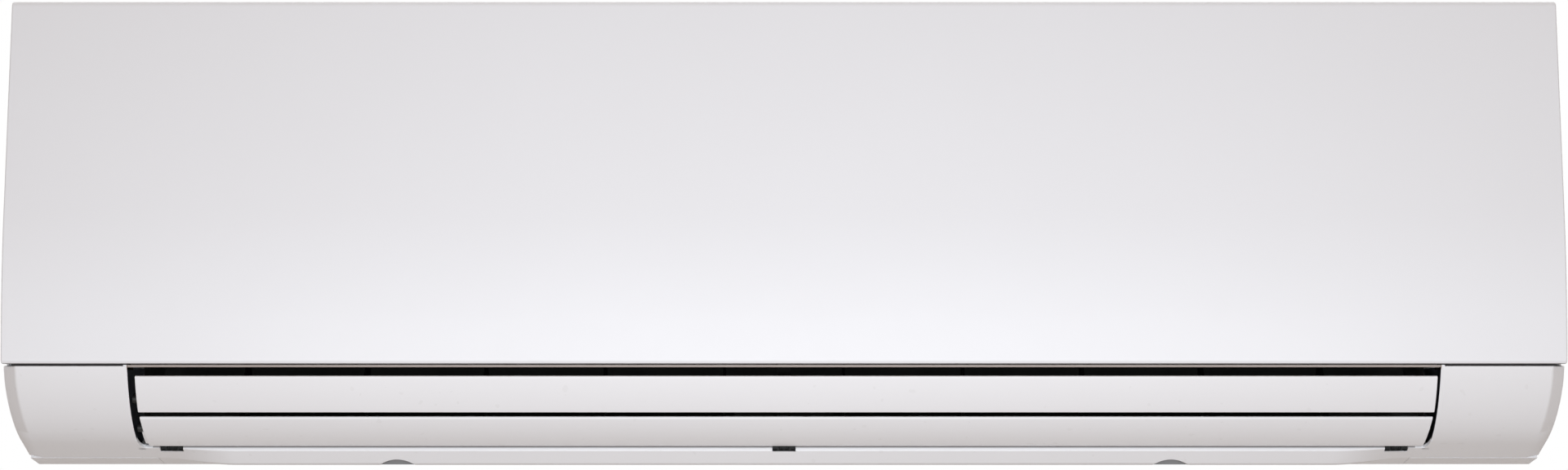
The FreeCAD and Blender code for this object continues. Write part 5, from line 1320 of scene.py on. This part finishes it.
def makeFilter(name):
    left, right = filters[name]
    low, high = filters["heights"]
    rim, half = filters["rim"], filters["rib"] / 2
    back = faceOffset - unit["gap"]
    front = back - filters["thick"]
    grid = bar("filterFrame", left, right, bentStrip(front, back, low, high))
    cellWidth = (right - left - rim) / filters["columns"]
    cellHeight = (high - low - rim) / filters["rows"]
    cells = []
    for column in range(filters["columns"]):
        for row in range(filters["rows"]):
            x, foot = left + rim + cellWidth * column, low + rim + cellHeight * row
            cells.append(block("filterCell", (x, x + cellWidth - rim), face["toolDepths"],
                               (foot, foot + cellHeight - rim)))
    pieces = [softenEdges(cutAway(grid, *cells), filters["gridEdge"])]
    near = front + (filters["thick"] - filters["ribThick"]) / 2
    far = near + filters["ribThick"]
    across, upright = (left + rim / 2, right - rim / 2), (low + rim / 2, high - rim / 2)
    ribs = []
    for x in ribPlaces(left + rim, cellWidth, filters["columns"], filters["ribsAcross"]):
        ribs.append(bar("filterRib", x - half, x + half, bentStrip(near, far, *upright)))
    for height in ribPlaces(low + rim, cellHeight, filters["rows"], filters["ribsUp"]):
        corners = ((near, height - half), (near, height + half), (far, height + half), (far, height - half))
        section = [(bentFront(offset, rise), rise) for offset, rise in corners]
        ribs.append(bar("filterRib", *across, section))
    pieces += [softenEdges(rib, filters["ribEdge"]) for rib in ribs]
    finishPiece(joinUp(f"{name}FilterFrame", pieces), "casing", "filter_mesh", filterFrame, f"{name}_filter")
    offset = front + filters["meshOffset"]
    sheet = bar(f"{name}FilterMesh", *across, bentStrip(offset, offset + filters["mesh"], *upright))
    finishPiece(sheet, "casing", "filter_mesh", filterMesh)


makeFilter("left")
makeFilter("right")
print("filters made")

# Clips in the lip's notches: a dark block with a slot, two prongs and a ridged foot
clips = {
    "half": 7.9,
    "depths": (163.3, 166.3),
    "heights": (9.8, 14.85),
    "edge": (0.25, 2, 50),
    "slotHalf": 3.6,
    "slotSink": 1.25,
    "prong": 1.1,
    "prongDepths": (1.4, 0.3),  # behind the front
    "prongHeights": (1.0, 0.6),  # above the foot and below the top
    "prongEdge": (0.2, 1, 50),
    "ridges": 4,
    "ridgeShare": 0.3,
    "ridge": ((-0.2, 0.1), (0.5, 0.3), (0.1, 1.4), (-0.2, 1.4)),  # from the foot of the front
}


def makeClips():
    half, slotHalf, sink, over = clips["half"], clips["slotHalf"], clips["slotSink"], unit["overcut"]
    front = clips["depths"][1]
    low, high = clips["heights"]
    body = block("lipClip", (-half, half), clips["depths"], clips["heights"])
    slot = block("clipSlot", (-slotHalf, slotHalf), (front - sink, front + over), (low + sink, high + over))
    pieces = [softenEdges(cutAway(body, slot), clips["edge"])]
    step = half * 2 / clips["ridges"]
    reach = step * clips["ridgeShare"]
    section = [(front + depth, low + height) for depth, height in clips["ridge"]]
    for i in range(clips["ridges"]):
        x = -half + step * (i + 0.5)
        pieces.append(bar("clipRidge", x - reach, x + reach, section))
    (behind, before), (above, below) = clips["prongDepths"], clips["prongHeights"]
    for side in (-1, 1):
        x = side * (slotHalf - clips["prong"])
        prong = block("clipProng", (x - clips["prong"] / 2, x + clips["prong"] / 2),
                      (front - behind, front - before), (low + above, high - below))
        pieces.append(softenEdges(prong, clips["prongEdge"]))
    row = spread(joinUp("lipClip", pieces), lip["notchX"])
    finishPiece(joinUp("lipClips", row), "casing", "clip_dark", clipDark, "lip_clips")


makeClips()
print("clips made")

# Camera at the photograph's place: 2.7 m before the panel, a little above the underside
camera = {
    "distance": 2700.0,
    "eye": 35.01,
    "pitch": 1.9257,
    "focal": 4833.4,  # this and the next two in pixels of the photograph
    "shift": 58.0,
    "width": 1920.0,
    "sensor": 36.0,
    "clipEnd": 50.0,
}
lens = bpy.data.cameras.new("photoCamera")
lens.sensor_width = camera["sensor"]
lens.lens = camera["focal"] / camera["width"] * camera["sensor"]
lens.shift_y = camera["shift"] / camera["width"]
lens.clip_end = camera["clipEnd"]
eye = bpy.data.objects.new("photoCamera", lens)
bpy.context.scene.collection.objects.link(eye)
eye.location = spot(0, unit["front"] + camera["distance"], camera["eye"])
eye.rotation_euler = (math.radians(90 + camera["pitch"]), 0, 0)
bpy.context.scene.camera = eye

# Pale floor well below the unit, a soft lamp in front, others above and behind, a white surround; in metres
studio = {
    "floorDrop": 3.0,
    "floorSize": 16.0,
    "floorCloud": 3.0,
    "floorDetail": 3.0,
    "floorLight": (0.84, 0.83, 0.82),
    "floorDark": (0.8, 0.79, 0.78),
    "floorRough": 0.7,
    "floorGlow": (0.42, 0.42, 0.42),
    "surround": 0.31,
    "surroundTint": (1.0, 0.8, 0.66),
    "white": (1.0, 1.0, 1.0),
    "black": (0.0, 0.0, 0.0),
}
rearLamp = {"power": 22.0, "tint": (0.905, 0.95, 1.0), "size": (1.4, 0.9), "aim": (0.0, 0.0, 0.0)}
lamps = {
    "frontLamp": {
        "power": 16.2,
        "tint": (0.905, 0.95, 1.0),
        "size": (1.2, 0.44),
        "place": (0.03, -1.6, -0.26),
        "aim": (0.0, 0.0, -0.06),
    },
    "topLamp": {
        "power": 14.0,
        "tint": (0.95, 0.975, 1.0),
        "size": (2.4, 1.2),
        "place": (0.0, 0.45, 1.7),
        "aim": (0.0, -0.15, 0.0),
    },
    "leftRearLamp": {"place": (-1.9, 1.7, 1.0), **rearLamp},
    "rightRearLamp": {"place": (1.9, 1.7, 1.0), **rearLamp},
}


def makeFloor():
    deselect()
    bpy.ops.mesh.primitive_plane_add(size=studio["floorSize"], location=(0, 0, -studio["floorDrop"]))
    floor = bpy.context.object
    floor.name = "studioFloor"
    bpy.ops.object.transform_apply(location=True, rotation=True, scale=True)
    paint = Finish("floorPaint")
    cloud = paint.noise(studio["floorCloud"], studio["floorDetail"])
    paint.set(Base_Color=paint.mix(cloud, studio["floorDark"], studio["floorLight"]))
    paint.set(Roughness=studio["floorRough"], Emission_Strength=1.0)
    paint.set(Emission_Color=paint.mix(paint.inView(), studio["black"], studio["floorGlow"]))
    dress(floor, paint)


def addLamp(name, power, tint, size, place, aim):
    lamp = bpy.data.lights.new(name, "AREA")
    lamp.shape = "RECTANGLE"
    lamp.size, lamp.size_y = size
    lamp.energy = power
    lamp.color = tint
    holder = bpy.data.objects.new(name, lamp)
    bpy.context.scene.collection.objects.link(holder)
    holder.location = place
    away = [p - a for p, a in zip(place, aim)]
    flat = math.hypot(away[0], away[1])
    holder.rotation_euler = (math.atan2(flat, away[2]), 0, math.atan2(away[0], -away[1]))
    holder.visible_camera = False


def makeSurround():
    world = bpy.data.worlds.new("surround")
    bpy.context.scene.world = world
    world.use_nodes = True
    sky = NodeTree(world.node_tree)
    glow = [studio["surround"] * part for part in studio["surroundTint"]]
    light = sky.node("ShaderNodeBackground", None, {0: sky.mix(sky.inView(), glow, studio["white"])})
    sky.node("ShaderNodeOutputWorld", None, {0: light})


makeFloor()
for name, lamp in lamps.items():
    addLamp(name, **lamp)
makeSurround()
bpy.context.scene.view_settings.view_transform = "Standard"
print("studio made")
